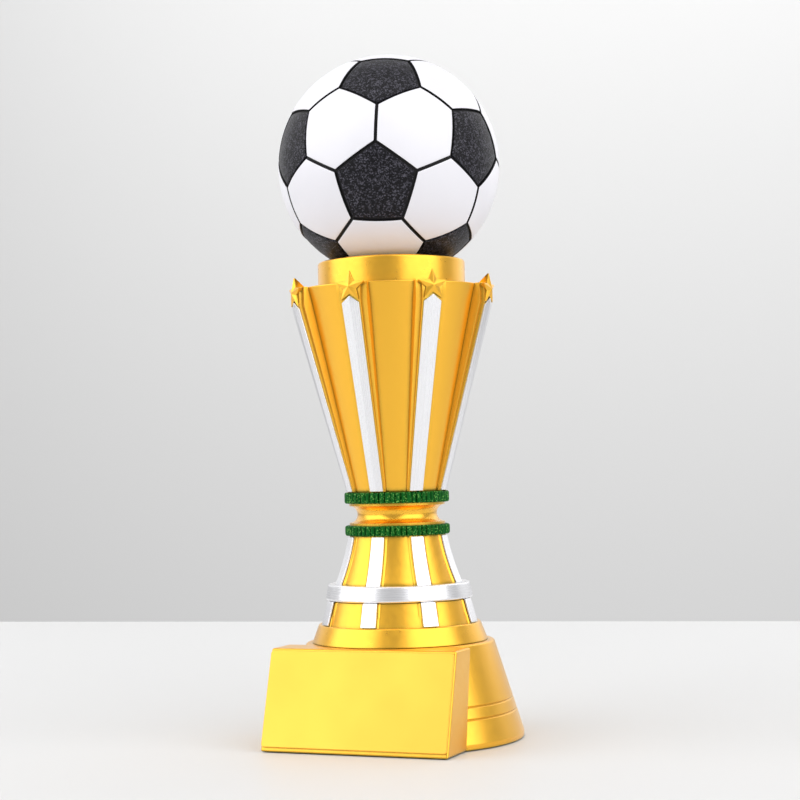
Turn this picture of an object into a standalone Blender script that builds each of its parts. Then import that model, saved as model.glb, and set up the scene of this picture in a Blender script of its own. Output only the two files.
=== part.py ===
"""Football figure trophy: a cast base with a name plate, a waisted gold column and a ball on top.

The castings stack on one tie rod. Every level is worked out from the heights of the pieces below
it, and every seat from the piece that sits in it plus GAP, the glue line between two pieces.
The trophy's front faces -Y. The origin is the middle of its underside.
"""

from math import atan2, cos, degrees, pi, radians, sin, sqrt

import bmesh
import bpy
from mathutils import Matrix, Vector

MM = 0.001
GAP = 0.3 * MM
TURN_STEPS = 48
RIB_COUNT = 8

# Felt pad
FELT_THICKNESS = 1.2 * MM
FELT_MARGIN = 2.0 * MM
FELT_PROUD = 0.3 * MM

# Base casting: round cone
BASE_HEIGHT = 39.2 * MM
BASE_FOOT_RADIUS = 49.7 * MM
BASE_FOOT_HEIGHT = 2.2 * MM
BASE_TOP_RADIUS = 38.4 * MM
BASE_SHOULDER = 1.0 * MM
BASE_LINE_HEIGHTS = (11.2 * MM, 15.9 * MM)
BASE_LINE_WIDTH = 0.9 * MM
BASE_LINE_DEPTH = 0.45 * MM

# Base casting: front block
BLOCK_WIDTH = 78.8 * MM
BLOCK_PROUD = 0.3 * MM
BLOCK_DEPTH_BOTTOM = 20.5 * MM
BLOCK_DEPTH_TOP = 15.6 * MM
BLOCK_EDGE = 0.8 * MM

# Name plate
PLATE_WIDTH = 78.0 * MM
PLATE_HEIGHT = 38.2 * MM
PLATE_THICKNESS = 0.6 * MM
PLATE_CORNER = 1.2 * MM
PLATE_TOP_MARGIN = 1.0 * MM

# Base ring
BASE_RING_HEIGHT = 7.2 * MM
BASE_RING_BOTTOM_RADIUS = 35.9 * MM
BASE_RING_TOP_RADIUS = 33.0 * MM
RING_EDGE = 0.6 * MM

# Lower flare: skirt, band seat and waist in one casting
SKIRT_HEIGHT = 9.1 * MM
SKIRT_BOTTOM_RADIUS = 31.5 * MM
SKIRT_TOP_RADIUS = 28.9 * MM
FLARE_HEIGHT = 19.2 * MM
FLARE_BOTTOM_RADIUS = 25.5 * MM
FLARE_TOP_RADIUS = 19.5 * MM
FLARE_HOLLOW = 0.6 * MM
FLARE_STEPS = 6
LOW_RIB_RISE = 0.6 * MM
LOW_RIB_ROOT = 1.5 * MM
LOW_RIB_LIP = 0.5 * MM
LOW_RIB_END = 0.3 * MM
LOW_STRIP_THICKNESS = 0.5 * MM
SKIRT_STRIP_STEPS = 1
FLARE_STRIP_STEPS = 4
FLARE_STRIP_WIDTH_TOP = 5.3 * MM
FLARE_STRIP_WIDTH_BOTTOM = 6.0 * MM
SKIRT_STRIP_WIDTH_TOP = 6.1 * MM
SKIRT_STRIP_WIDTH_BOTTOM = 6.5 * MM

# Silver band
BAND_HEIGHT = 6.5 * MM
BAND_BOTTOM_RADIUS = 30.3 * MM
BAND_TOP_RADIUS = 29.0 * MM
BAND_EDGE = 0.9 * MM

# Rope rings
ROPE_RADIUS = 21.5 * MM
ROPE_RIDGES = 60
ROPE_RIDGE_DEPTH = 0.6 * MM
LOWER_ROPE_HEIGHT = 4.2 * MM
UPPER_ROPE_HEIGHT = 4.6 * MM

# Waist spool
SPOOL_HEIGHT = 8.3 * MM
SPOOL_END_RADIUS = 19.6 * MM
SPOOL_WAIST_RADIUS = 16.3 * MM
SPOOL_LIP = 0.7 * MM
SPOOL_STEPS = 8

# Column
COLUMN_HEIGHT = 82.8 * MM
COLUMN_BOTTOM_RADIUS = 19.3 * MM
COLUMN_RIM_RADIUS = 39.6 * MM
COLUMN_EDGE = 0.4 * MM

# Star ribs
RIB_ROOT = 2.0 * MM
CREST_RISE_BOTTOM = 1.1 * MM
CREST_RISE_TOP = 4.3 * MM
CREST_WIDTH_BOTTOM = 6.4 * MM
CREST_WIDTH_TOP = 8.6 * MM
STEP_RISE_BOTTOM = 0.6 * MM
STEP_RISE_TOP = 3.1 * MM
STEP_WIDTH_BOTTOM = 7.2 * MM
STEP_WIDTH_TOP = 13.2 * MM

# Stars
STAR_POINTS = 5
STAR_RADIUS = 6.4 * MM
STAR_NOTCH_SHARE = 0.45
STAR_CENTRE_DROP = 2.3 * MM
STAR_EDGE_PROUD = 0.7 * MM
STAR_RIDGE_PROUD = 2.0 * MM
STAR_BODY_DEPTH = 5.5 * MM
STAR_BODY_SHARE = 0.55
STAR_BODY_DROP = 1.5 * MM

# Silver strips on the star ribs
STRIP_WIDTH_BOTTOM = 5.6 * MM
STRIP_WIDTH_TOP = 7.4 * MM
STRIP_EDGE_THICKNESS = 0.3 * MM
STRIP_RIDGE = 0.5 * MM
STRIP_POINT_HEIGHT = 2.6 * MM
STRIP_POINT_WIDTH = 0.6 * MM
STRIP_POINT_RISE = 0.5
STRIP_STAR_CLEARANCE = 0.8 * MM

# Collar ring
COLLAR_HEIGHT = 11.0 * MM
COLLAR_RADIUS = 30.3 * MM
COLLAR_EDGE = 0.9 * MM
SEAT_RADIUS = 22.9 * MM
SEAT_STEPS = 6

# Ball
BALL_RADIUS = 45.8 * MM
PENTAGON_CORNER_SHARE = 35.7
GROOVE_WIDTH = 1.0 * MM
GROOVE_DEPTH = 1.2 * MM
GROOVE_WALL_RUN = 0.3 * MM
INLAY_SINK = 0.4 * MM
BALL_PENTAGON_AZIMUTH = 15.6
BALL_PENTAGON_ELEVATION = -18.3
BALL_SPIN = 87.7

# Tie rod and what holds it
ROD_RADIUS = 3.0 * MM
ROD_CHAMFER = 0.6 * MM
ROD_BELOW_NUT = 1.0 * MM
WASHER_RADIUS = 9.0 * MM
WASHER_THICKNESS = 1.6 * MM
NUT_SIDES = 6
NUT_FLATS = 10.0 * MM
NUT_HEIGHT = 5.0 * MM
COUNTERBORE_DEPTH = 10.2 * MM
COUNTERBORE_CLEARANCE = 1.0 * MM
INSERT_RADIUS = 5.0 * MM
INSERT_LENGTH = 14.0 * MM
INSERT_SINK = 0.7 * MM
ROD_ENGAGEMENT = 11.0 * MM

# Levels, from the felt up
BASE_Z = FELT_PROUD
BASE_TOP_Z = BASE_Z + BASE_HEIGHT
BASE_RING_Z = BASE_TOP_Z + GAP
SKIRT_Z = BASE_RING_Z + BASE_RING_HEIGHT + GAP
SHOULDER_Z = SKIRT_Z + SKIRT_HEIGHT
BAND_Z = SHOULDER_Z + GAP
FLARE_Z = BAND_Z + BAND_HEIGHT
FLARE_TOP_Z = FLARE_Z + FLARE_HEIGHT
LOWER_ROPE_Z = FLARE_TOP_Z + GAP
SPOOL_Z = LOWER_ROPE_Z + LOWER_ROPE_HEIGHT + GAP
UPPER_ROPE_Z = SPOOL_Z + SPOOL_HEIGHT + GAP
COLUMN_Z = UPPER_ROPE_Z + UPPER_ROPE_HEIGHT + GAP
RIM_Z = COLUMN_Z + COLUMN_HEIGHT
COLLAR_Z = RIM_Z + GAP
COLLAR_TOP_Z = COLLAR_Z + COLLAR_HEIGHT
BALL_Z = COLLAR_TOP_Z + sqrt(BALL_RADIUS ** 2 - SEAT_RADIUS ** 2)
BALL_BOTTOM_Z = BALL_Z - BALL_RADIUS

BORE_RADIUS = ROD_RADIUS + GAP
STAR_Z = RIM_Z - STAR_CENTRE_DROP
STAR_FOOT_Z = STAR_Z - STAR_RADIUS * cos(pi / STAR_POINTS)
STRIP_TIP_Z = STAR_Z - STAR_RADIUS * STAR_NOTCH_SHARE - STRIP_STAR_CLEARANCE


def between(start, end, share):
    """The value a share of the way from start to end."""
    return start + (end - start) * share


def collection(name):
    """A new collection in the scene."""
    made = bpy.data.collections.new(name)
    bpy.context.scene.collection.children.link(made)
    return made


def finish(name, colour, roughness, metallic):
    """A Principled material."""
    material = bpy.data.materials.new(name)
    material.use_nodes = True
    shader = material.node_tree.nodes["Principled BSDF"]
    shader.inputs["Base Color"].default_value = (*colour, 1.0)
    shader.inputs["Roughness"].default_value = roughness
    shader.inputs["Metallic"].default_value = metallic
    return material


for old in list(bpy.data.objects):
    bpy.data.objects.remove(old)

PARTS = collection("football_trophy")
CUTTERS = collection("cutters")

SATIN_GOLD = finish("satin_gold", (0.80, 0.46, 0.07), 0.35, 1.0)
POLISHED_GOLD = finish("polished_gold", (0.80, 0.44, 0.06), 0.20, 1.0)
PLATE_GOLD = finish("plate_gold", (0.90, 0.68, 0.12), 0.40, 1.0)
SILVER = finish("silver", (0.86, 0.86, 0.88), 0.25, 1.0)
GREEN = finish("green_enamel", (0.01, 0.14, 0.03), 0.45, 0.0)
WHITE = finish("white_enamel", (0.86, 0.85, 0.88), 0.30, 0.0)
BLACK = finish("black_glitter", (0.02, 0.02, 0.024), 0.60, 0.0)
STEEL = finish("zinc_steel", (0.60, 0.61, 0.62), 0.35, 1.0)
BRASS = finish("brass", (0.72, 0.50, 0.16), 0.35, 1.0)
FELT = finish("black_felt", (0.02, 0.02, 0.02), 0.95, 0.0)


def add_piece(name, mesh, material, group=PARTS):
    """An object for a mesh, in the collection of the parts or of the cutters."""
    piece = bpy.data.objects.new(name, mesh)
    group.objects.link(piece)
    if material and not mesh.materials:
        mesh.materials.append(material)
    if group is CUTTERS:
        piece.hide_render = True
        piece.display_type = 'WIRE'
    return piece


def add_bmesh(name, bm, material, group=PARTS):
    """An object for a bmesh, which this frees."""
    mesh = bpy.data.meshes.new(name)
    bm.to_mesh(mesh)
    bm.free()
    return add_piece(name, mesh, material, group)


def lathe(name, profile, material, group=PARTS, closed=True):
    """A turned piece from its half section of (radius, height), which runs down the outer side."""
    bm = bmesh.new()
    points = [bm.verts.new((radius, 0.0, height)) for radius, height in profile]
    for i in range(len(points) if closed else len(points) - 1):
        bm.edges.new((points[i], points[(i + 1) % len(points)]))
    piece = add_bmesh(name, bm, material, group)
    turn = piece.modifiers.new("turn", 'SCREW')
    turn.axis = 'Z'
    turn.angle = 2 * pi
    turn.steps = TURN_STEPS
    turn.render_steps = TURN_STEPS
    turn.use_merge_vertices = True
    turn.merge_threshold = 0.01 * MM
    turn.use_smooth_shade = True
    return piece


def loft(sections):
    """A closed solid through sections of the same number of points, capped at both ends."""
    bm = bmesh.new()
    rings = [[bm.verts.new(point) for point in section] for section in sections]
    for low, high in zip(rings, rings[1:]):
        for i in range(len(low)):
            j = (i + 1) % len(low)
            bm.faces.new((low[i], low[j], high[j], high[i]))
    bm.faces.new(rings[0])
    bm.faces.new(rings[-1])
    bmesh.ops.recalc_face_normals(bm, faces=bm.faces)
    return bm


def combine(piece, tool, operation):
    """Cut a piece with a tool, or join the tool to it."""
    boolean = piece.modifiers.new(tool.name, 'BOOLEAN')
    boolean.operation = operation
    boolean.solver = 'EXACT'
    boolean.object = tool


def baked(piece):
    """The piece's mesh with its modifiers applied."""
    graph = bpy.context.evaluated_depsgraph_get()
    return bpy.data.meshes.new_from_object(piece.evaluated_get(graph))


def turn_to_rib(index):
    """The turn about Z that brings a piece on +X to a rib's place, the first at the front."""
    return -pi / 2 + index * 2 * pi / RIB_COUNT


def rounded_corner(corner_radius, corner_z, size, start, end, steps=2):
    """Points of a fillet round a centre at (corner_radius, corner_z), from start to end degrees."""
    turns = [radians(between(start, end, i / steps)) for i in range(steps + 1)]
    return [(corner_radius + size * cos(t), corner_z + size * sin(t)) for t in turns]


# ---------------------------------------------------------------- base

def base_radius(height):
    """The cone's radius at a height over the casting's underside."""
    share = (height - BASE_FOOT_HEIGHT) / (BASE_HEIGHT - BASE_FOOT_HEIGHT)
    return between(BASE_FOOT_RADIUS, BASE_TOP_RADIUS, share)


def block_front(height):
    """How far the block's front face stands in front of the axis."""
    return base_radius(height) + BLOCK_PROUD


FACE_LEAN = atan2(block_front(0.0) - block_front(BASE_HEIGHT), BASE_HEIGHT)
COUNTERBORE_RADIUS = WASHER_RADIUS + COUNTERBORE_CLEARANCE


def base_line(height):
    """A V-shaped line round the cone, centred at a height over the underside, top edge first."""
    half = BASE_LINE_WIDTH / 2
    return [(base_radius(height + half), BASE_Z + height + half),
            (base_radius(height) - BASE_LINE_DEPTH, BASE_Z + height),
            (base_radius(height - half), BASE_Z + height - half)]


def rectangle(half_width, front, back, z):
    """A level rectangle from its half width and the distances in front of the axis."""
    return [(-half_width, -front, z), (half_width, -front, z),
            (half_width, -back, z), (-half_width, -back, z)]


def inset_base_outline(name, margin, bottom, top, material, group):
    """A flat slab that keeps a margin inside the outline of the base's underside."""
    radius = BASE_FOOT_RADIUS - margin
    slab = lathe(name, [(0.0, top), (radius, top), (radius, bottom), (0.0, bottom)], material,
                 group, closed=False)
    front = block_front(0.0) - margin
    apron_bm = loft([rectangle(BLOCK_WIDTH / 2 - margin, front, front - BLOCK_DEPTH_BOTTOM, z)
                     for z in (bottom, top)])
    combine(slab, add_bmesh(name + "_apron", apron_bm, None, CUTTERS), 'UNION')
    return slab


def make_felt_pad():
    """The pad under the base, a little proud of the pocket it is glued in."""
    inset_base_outline("felt_pad", FELT_MARGIN, 0.0, FELT_THICKNESS, FELT, PARTS)


def make_base_casting():
    """The round cone with its two lines, joined to the front block, with the felt's pocket and
    the counterbore for the nut in its underside."""
    ease = BASE_SHOULDER * (1 - cos(pi / 4))
    profile = [(BASE_TOP_RADIUS - BASE_SHOULDER, BASE_TOP_Z),
               (base_radius(BASE_HEIGHT - ease) - ease, BASE_TOP_Z - ease),
               (base_radius(BASE_HEIGHT - BASE_SHOULDER), BASE_TOP_Z - BASE_SHOULDER)]
    for height in reversed(BASE_LINE_HEIGHTS):
        profile += base_line(height)
    ceiling = BASE_Z + COUNTERBORE_DEPTH
    profile += [(BASE_FOOT_RADIUS, BASE_Z + BASE_FOOT_HEIGHT), (BASE_FOOT_RADIUS, BASE_Z),
                (COUNTERBORE_RADIUS, BASE_Z), (COUNTERBORE_RADIUS, ceiling),
                (BORE_RADIUS, ceiling), (BORE_RADIUS, BASE_TOP_Z)]
    casting = lathe("base_casting", profile, SATIN_GOLD)

    low, high = block_front(0.0), block_front(BASE_HEIGHT)
    block_bm = loft([rectangle(BLOCK_WIDTH / 2, low, low - BLOCK_DEPTH_BOTTOM, BASE_Z),
                     rectangle(BLOCK_WIDTH / 2, high, high - BLOCK_DEPTH_TOP, BASE_TOP_Z)])
    block = add_bmesh("front_block", block_bm, None, CUTTERS)
    soften = block.modifiers.new("soften", 'BEVEL')
    soften.width = BLOCK_EDGE
    soften.segments = 2
    combine(casting, block, 'UNION')
    combine(casting, inset_base_outline("felt_pocket", FELT_MARGIN - GAP, BASE_Z - MM,
                                        FELT_THICKNESS + GAP, None, CUTTERS), 'DIFFERENCE')


def make_name_plate():
    """The thin plate on the block's leaning front face."""
    bm = bmesh.new()
    size = Matrix.Diagonal((PLATE_WIDTH, PLATE_THICKNESS, PLATE_HEIGHT, 1.0))
    bmesh.ops.create_cube(bm, size=1.0, matrix=size)
    corners = [edge for edge in bm.edges if abs(edge.verts[0].co.y - edge.verts[1].co.y) > GAP]
    bmesh.ops.bevel(bm, geom=corners, offset=PLATE_CORNER, affect='EDGES', segments=3,
                    profile=0.5, material=-1)
    plate = add_bmesh("name_plate", bm, PLATE_GOLD)
    plate.rotation_euler.x = -FACE_LEAN
    outward = Vector((0.0, -cos(FACE_LEAN), sin(FACE_LEAN)))
    down_face = Vector((0.0, -sin(FACE_LEAN), -cos(FACE_LEAN)))
    face_top = Vector((0.0, -block_front(BASE_HEIGHT), BASE_TOP_Z))
    plate.location = (face_top + down_face * (PLATE_TOP_MARGIN + PLATE_HEIGHT / 2)
                      + outward * (GAP + PLATE_THICKNESS / 2))


def make_base_ring():
    """The turned tier between the base and the skirt."""
    top = BASE_RING_Z + BASE_RING_HEIGHT
    lean = degrees(atan2(BASE_RING_BOTTOM_RADIUS - BASE_RING_TOP_RADIUS, BASE_RING_HEIGHT))
    lathe("base_ring",
          rounded_corner(BASE_RING_TOP_RADIUS - RING_EDGE, top - RING_EDGE, RING_EDGE, 90, lean)
          + [(BASE_RING_BOTTOM_RADIUS, BASE_RING_Z), (BORE_RADIUS, BASE_RING_Z),
             (BORE_RADIUS, top)], SATIN_GOLD)


# ---------------------------------------------------------------- lower flare

def skirt_radius(share):
    """The skirt's panel radius at a share of its height."""
    return between(SKIRT_BOTTOM_RADIUS, SKIRT_TOP_RADIUS, share)


def flare_radius(share):
    """The flare's panel radius at a share of its height, slightly hollow."""
    return (between(FLARE_BOTTOM_RADIUS, FLARE_TOP_RADIUS, share)
            - 4 * FLARE_HOLLOW * share * (1 - share))


# Each set of low ribs: panel radius, lowest level, height, strip width at the bottom and top,
# and lengths that a strip is divided into.
LOW_RIBS = {
    "skirt": (skirt_radius, SKIRT_Z, SKIRT_HEIGHT, SKIRT_STRIP_WIDTH_BOTTOM,
              SKIRT_STRIP_WIDTH_TOP, SKIRT_STRIP_STEPS),
    "flare": (flare_radius, FLARE_Z + GAP, FLARE_HEIGHT - GAP, FLARE_STRIP_WIDTH_BOTTOM,
              FLARE_STRIP_WIDTH_TOP, FLARE_STRIP_STEPS),
}


def low_bar(rib_set, inner, outer, widening):
    """A bar up a set of low ribs, between two rises over the panel, at +X."""
    panel, bottom, height, width_bottom, width_top, steps = LOW_RIBS[rib_set]
    sections = []
    for i in range(steps + 1):
        z = between(bottom + LOW_RIB_END, bottom + height - LOW_RIB_END, i / steps)
        share = (z - bottom) / height
        half = between(width_bottom, width_top, share) / 2 + widening
        radius = panel(share)
        sections.append([(radius + inner, -half, z), (radius + outer, -half, z),
                         (radius + outer, half, z), (radius + inner, half, z)])
    return loft(sections)


def make_lower_flare():
    """Skirt, band seat and flare in one casting, with a low rib under each silver strip."""
    profile = [(flare_radius(i / FLARE_STEPS), between(FLARE_Z, FLARE_TOP_Z, i / FLARE_STEPS))
               for i in range(FLARE_STEPS, -1, -1)]
    profile += [(FLARE_BOTTOM_RADIUS, SHOULDER_Z), (SKIRT_TOP_RADIUS, SHOULDER_Z),
                (SKIRT_BOTTOM_RADIUS, SKIRT_Z), (BORE_RADIUS, SKIRT_Z),
                (BORE_RADIUS, FLARE_TOP_Z)]
    casting = lathe("lower_flare", profile, SATIN_GOLD)
    for rib_set in LOW_RIBS:
        bars = bmesh.new()
        for index in range(RIB_COUNT):
            bar = low_bar(rib_set, -LOW_RIB_ROOT, LOW_RIB_RISE, LOW_RIB_LIP)
            bar.transform(Matrix.Rotation(turn_to_rib(index), 4, 'Z'))
            mesh = bpy.data.meshes.new("bar")
            bar.to_mesh(mesh)
            bar.free()
            bars.from_mesh(mesh)
            bpy.data.meshes.remove(mesh)
        combine(casting, add_bmesh(rib_set + "_ribs", bars, None, CUTTERS), 'UNION')


def make_low_strips():
    """The silver strips on the low ribs."""
    for rib_set in LOW_RIBS:
        inner = LOW_RIB_RISE + GAP
        strip_bm = low_bar(rib_set, inner, inner + LOW_STRIP_THICKNESS, 0.0)
        mesh = bpy.data.meshes.new(rib_set + "_strip")
        strip_bm.to_mesh(mesh)
        strip_bm.free()
        for index in range(RIB_COUNT):
            strip = add_piece(f"{rib_set}_strip_{index + 1}", mesh, SILVER)
            strip.rotation_euler.z = turn_to_rib(index)


def make_silver_band():
    """The band that sits on the skirt's shoulder, round the flare's foot."""
    inner = FLARE_BOTTOM_RADIUS + GAP
    top = BAND_Z + BAND_HEIGHT
    lean = degrees(atan2(BAND_BOTTOM_RADIUS - BAND_TOP_RADIUS, BAND_HEIGHT))
    lathe("silver_band",
          rounded_corner(BAND_TOP_RADIUS - BAND_EDGE, top - BAND_EDGE, BAND_EDGE, 90, lean)
          + rounded_corner(BAND_BOTTOM_RADIUS - BAND_EDGE, BAND_Z + BAND_EDGE, BAND_EDGE, lean, -90)
          + [(inner, BAND_Z), (inner, top)], SILVER)


# ---------------------------------------------------------------- waist

def make_rope_ring(name, bottom, height):
    """A green ring with upright ridges round it, bored for the rod."""
    sections = []
    for z in (bottom, bottom + height):
        section = []
        for i in range(2 * ROPE_RIDGES):
            radius = ROPE_RADIUS - ROPE_RIDGE_DEPTH * (i % 2)
            turn = i * pi / ROPE_RIDGES
            section.append((radius * cos(turn), radius * sin(turn), z))
        sections.append(section)
    ring = add_bmesh(name, loft(sections), GREEN)
    bore = lathe(name + "_bore", [(0.0, bottom + height + MM), (BORE_RADIUS, bottom + height + MM),
                                  (BORE_RADIUS, bottom - MM), (0.0, bottom - MM)],
                 None, CUTTERS, closed=False)
    combine(ring, bore, 'DIFFERENCE')


def make_waist_spool():
    """The hollow-cheeked spool between the two rope rings."""
    middle = SPOOL_Z + SPOOL_HEIGHT / 2
    hollow_height = SPOOL_HEIGHT / 2 - SPOOL_LIP
    hollow_depth = SPOOL_END_RADIUS - SPOOL_WAIST_RADIUS
    profile = [(SPOOL_END_RADIUS, SPOOL_Z + SPOOL_HEIGHT)]
    for i in range(SPOOL_STEPS + 1):
        turn = radians(between(90, -90, i / SPOOL_STEPS))
        profile.append((SPOOL_END_RADIUS - hollow_depth * cos(turn),
                        middle + hollow_height * sin(turn)))
    profile += [(SPOOL_END_RADIUS, SPOOL_Z), (BORE_RADIUS, SPOOL_Z),
                (BORE_RADIUS, SPOOL_Z + SPOOL_HEIGHT)]
    lathe("waist_spool", profile, POLISHED_GOLD)


# ---------------------------------------------------------------- column

def column_radius(z):
    """The column's panel radius at a level."""
    return between(COLUMN_BOTTOM_RADIUS, COLUMN_RIM_RADIUS, (z - COLUMN_Z) / COLUMN_HEIGHT)


def make_column_core():
    """The gold cone that widens up to the rim."""
    shoulder_z = RIM_Z - COLUMN_EDGE
    lathe("column_core",
          [(COLUMN_RIM_RADIUS - COLUMN_EDGE, RIM_Z), (column_radius(shoulder_z), shoulder_z),
           (COLUMN_BOTTOM_RADIUS, COLUMN_Z), (BORE_RADIUS, COLUMN_Z), (BORE_RADIUS, RIM_Z)],
          SATIN_GOLD)


def rib_section(z, share, lean_z):
    """The two-step rib's section at a level, with its radii taken at the level lean_z."""
    root = column_radius(z) - RIB_ROOT
    step = column_radius(lean_z) + between(STEP_RISE_BOTTOM, STEP_RISE_TOP, share)
    crest = column_radius(lean_z) + between(CREST_RISE_BOTTOM, CREST_RISE_TOP, share)
    step_half = between(STEP_WIDTH_BOTTOM, STEP_WIDTH_TOP, share) / 2
    crest_half = between(CREST_WIDTH_BOTTOM, CREST_WIDTH_TOP, share) / 2
    half = [(root, step_half), (step, step_half), (step, crest_half), (crest, crest_half)]
    return [(r, -t, z) for r, t in half] + [(r, t, z) for r, t in reversed(half)]


def star_outline(radius, x, centre_z):
    """A five-point star standing in the plane at x, one point up."""
    points = []
    for i in range(2 * STAR_POINTS):
        reach = radius * (STAR_NOTCH_SHARE if i % 2 else 1.0)
        turn = i * pi / STAR_POINTS
        points.append((x, reach * sin(turn), centre_z + reach * cos(turn)))
    return points


CREST_TOP_RADIUS = column_radius(STAR_FOOT_Z) + CREST_RISE_TOP


def make_star():
    """The faceted star with the body that ties it back to the rim, as a tool."""
    front = CREST_TOP_RADIUS + STAR_EDGE_PROUD
    bm = loft([star_outline(STAR_RADIUS * STAR_BODY_SHARE, front - STAR_BODY_DEPTH,
                            STAR_Z - STAR_BODY_DROP),
               star_outline(STAR_RADIUS, CREST_TOP_RADIUS, STAR_Z),
               star_outline(STAR_RADIUS, front, STAR_Z)])
    bm.faces.ensure_lookup_table()
    face = max(bm.faces, key=lambda f: f.calc_center_median().x)
    middle = bmesh.ops.poke(bm, faces=[face])["verts"][0]
    middle.co.x = CREST_TOP_RADIUS + STAR_RIDGE_PROUD
    return add_bmesh("star", bm, None, CUTTERS)


def make_star_ribs():
    """The eight ribs, each with its star, seated on the column with a glue line."""
    bm = loft([rib_section(COLUMN_Z, 0.0, COLUMN_Z),
               rib_section(STAR_FOOT_Z, 1.0, STAR_FOOT_Z),
               rib_section(RIM_Z, 1.0, STAR_FOOT_Z)])
    pattern = add_bmesh("star_rib_pattern", bm, None, CUTTERS)
    combine(pattern, make_star(), 'UNION')
    over, under = RIM_Z + GAP, COLUMN_Z - MM
    seat = lathe("rib_seat", [(0.0, over), (column_radius(over) + GAP, over),
                              (column_radius(under) + GAP, under), (0.0, under)],
                 None, CUTTERS, closed=False)
    combine(pattern, seat, 'DIFFERENCE')
    mesh = baked(pattern)
    for index in range(RIB_COUNT):
        rib = add_piece(f"star_rib_{index + 1}", mesh, SATIN_GOLD)
        rib.rotation_euler.z = turn_to_rib(index)


def strip_section(z, half, rise):
    """The roof-shaped strip's section at a level; rise 0 takes the roof down to its eaves."""
    share = (z - COLUMN_Z) / (STAR_FOOT_Z - COLUMN_Z)
    seat = (column_radius(z) + between(CREST_RISE_BOTTOM, CREST_RISE_TOP, share)) + GAP
    eaves = seat + STRIP_EDGE_THICKNESS
    return [(seat, -half, z), (eaves, -half, z), (eaves + STRIP_RIDGE * rise, 0.0, z),
            (eaves, half, z), (seat, half, z), (seat, 0.0, z)]


def make_rib_strips():
    """The silver strips on the ribs' crests, pointed between the star's feet."""
    corner_z = STRIP_TIP_Z - STRIP_POINT_HEIGHT
    mesh = bpy.data.meshes.new("rib_strip")
    bm = loft([strip_section(COLUMN_Z, STRIP_WIDTH_BOTTOM / 2, 1.0),
               strip_section(corner_z, STRIP_WIDTH_TOP / 2, 1.0),
               strip_section(STRIP_TIP_Z, STRIP_POINT_WIDTH / 2, STRIP_POINT_RISE)])
    bm.to_mesh(mesh)
    bm.free()
    for index in range(RIB_COUNT):
        strip = add_piece(f"rib_strip_{index + 1}", mesh, SILVER)
        strip.rotation_euler.z = turn_to_rib(index)


# ---------------------------------------------------------------- collar and ball

def seat_point(radius):
    """A point of the ball's seat, a glue line outside the ball."""
    return radius, BALL_Z - sqrt((BALL_RADIUS + GAP) ** 2 - radius ** 2)


def make_collar_ring():
    """The ring on the rim, dished on top for the ball."""
    lip = sqrt((BALL_RADIUS + GAP) ** 2 - (BALL_Z - COLLAR_TOP_Z) ** 2)
    profile = rounded_corner(COLLAR_RADIUS - COLLAR_EDGE, COLLAR_TOP_Z - COLLAR_EDGE,
                             COLLAR_EDGE, 90, 0)
    profile += [(COLLAR_RADIUS, COLLAR_Z), (BORE_RADIUS, COLLAR_Z)]
    profile += [seat_point(between(BORE_RADIUS, lip, i / SEAT_STEPS))
                for i in range(SEAT_STEPS + 1)]
    lathe("collar_ring", profile, SATIN_GOLD)


def ball_turn():
    """The ball's turn: one pentagon faces the front, a little down and to one side."""
    return (Matrix.Rotation(radians(BALL_PENTAGON_AZIMUTH), 4, 'Z')
            @ Matrix.Rotation(radians(90 - BALL_PENTAGON_ELEVATION), 4, 'X')
            @ Matrix.Rotation(radians(BALL_SPIN), 4, 'Z'))


def ball_panels():
    """A bmesh of the ball round the origin, and its 12 pentagons and 20 hexagons: an icosahedron
    with its corners cut off, edge middles brought out to the ball, and a groove's half width
    round each panel."""
    bm = bmesh.new()
    bmesh.ops.create_icosphere(bm, subdivisions=1, radius=BALL_RADIUS)
    bmesh.ops.bevel(bm, geom=bm.verts[:], offset=PENTAGON_CORNER_SHARE, offset_type='PERCENT',
                    affect='VERTICES', segments=1, profile=0.5, material=-1)
    bmesh.ops.subdivide_edges(bm, edges=bm.edges[:], cuts=1)
    for vert in bm.verts:
        vert.co = vert.co.normalized() * BALL_RADIUS
    bm.transform(ball_turn())
    bm.normal_update()
    panels = bm.faces[:]
    bmesh.ops.inset_individual(bm, faces=panels, thickness=GROOVE_WIDTH / 2,
                               use_even_offset=True)
    return bm, panels


def is_pentagon(face):
    """True for a pentagon, which has five corners and five edge middles."""
    return len(face.verts) == 10


def dome(bm, face, radius):
    """Turn a flat panel into a fan with a ring half way out, on a sphere round the origin."""
    middle = bmesh.ops.poke(bm, faces=[face])["verts"][0]
    middle.co = middle.co.normalized() * radius
    ring = bmesh.ops.subdivide_edges(bm, edges=middle.link_edges[:], cuts=1)["geom_inner"]
    for vert in [item for item in ring if isinstance(item, bmesh.types.BMVert)]:
        vert.co = vert.co.normalized() * radius


def make_ball_casting():
    """The white ball with its grooves, its twelve pockets and the hole for the bush."""
    floor = BALL_RADIUS - GROOVE_DEPTH
    bm, panels = ball_panels()
    hexagons = [face for face in panels if not is_pentagon(face)]
    bmesh.ops.inset_individual(bm, faces=hexagons, thickness=GROOVE_WALL_RUN,
                               use_even_offset=True)
    raised = {vert for face in hexagons for vert in face.verts}
    for vert in bm.verts:
        vert.co = vert.co.normalized() * (BALL_RADIUS if vert in raised else floor)
    for face in panels:
        dome(bm, face, floor if is_pentagon(face) else BALL_RADIUS)
    ball = add_bmesh("ball_casting", bm, WHITE)
    ball.location.z = BALL_Z

    radius = INSERT_RADIUS + GAP
    top = BALL_BOTTOM_Z + INSERT_SINK + INSERT_LENGTH + GAP
    bottom = BALL_BOTTOM_Z - MM
    hole = lathe("insert_hole", [(0.0, top), (radius, top), (radius, bottom), (0.0, bottom)],
                 None, CUTTERS, closed=False)
    combine(ball, hole, 'DIFFERENCE')


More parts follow.
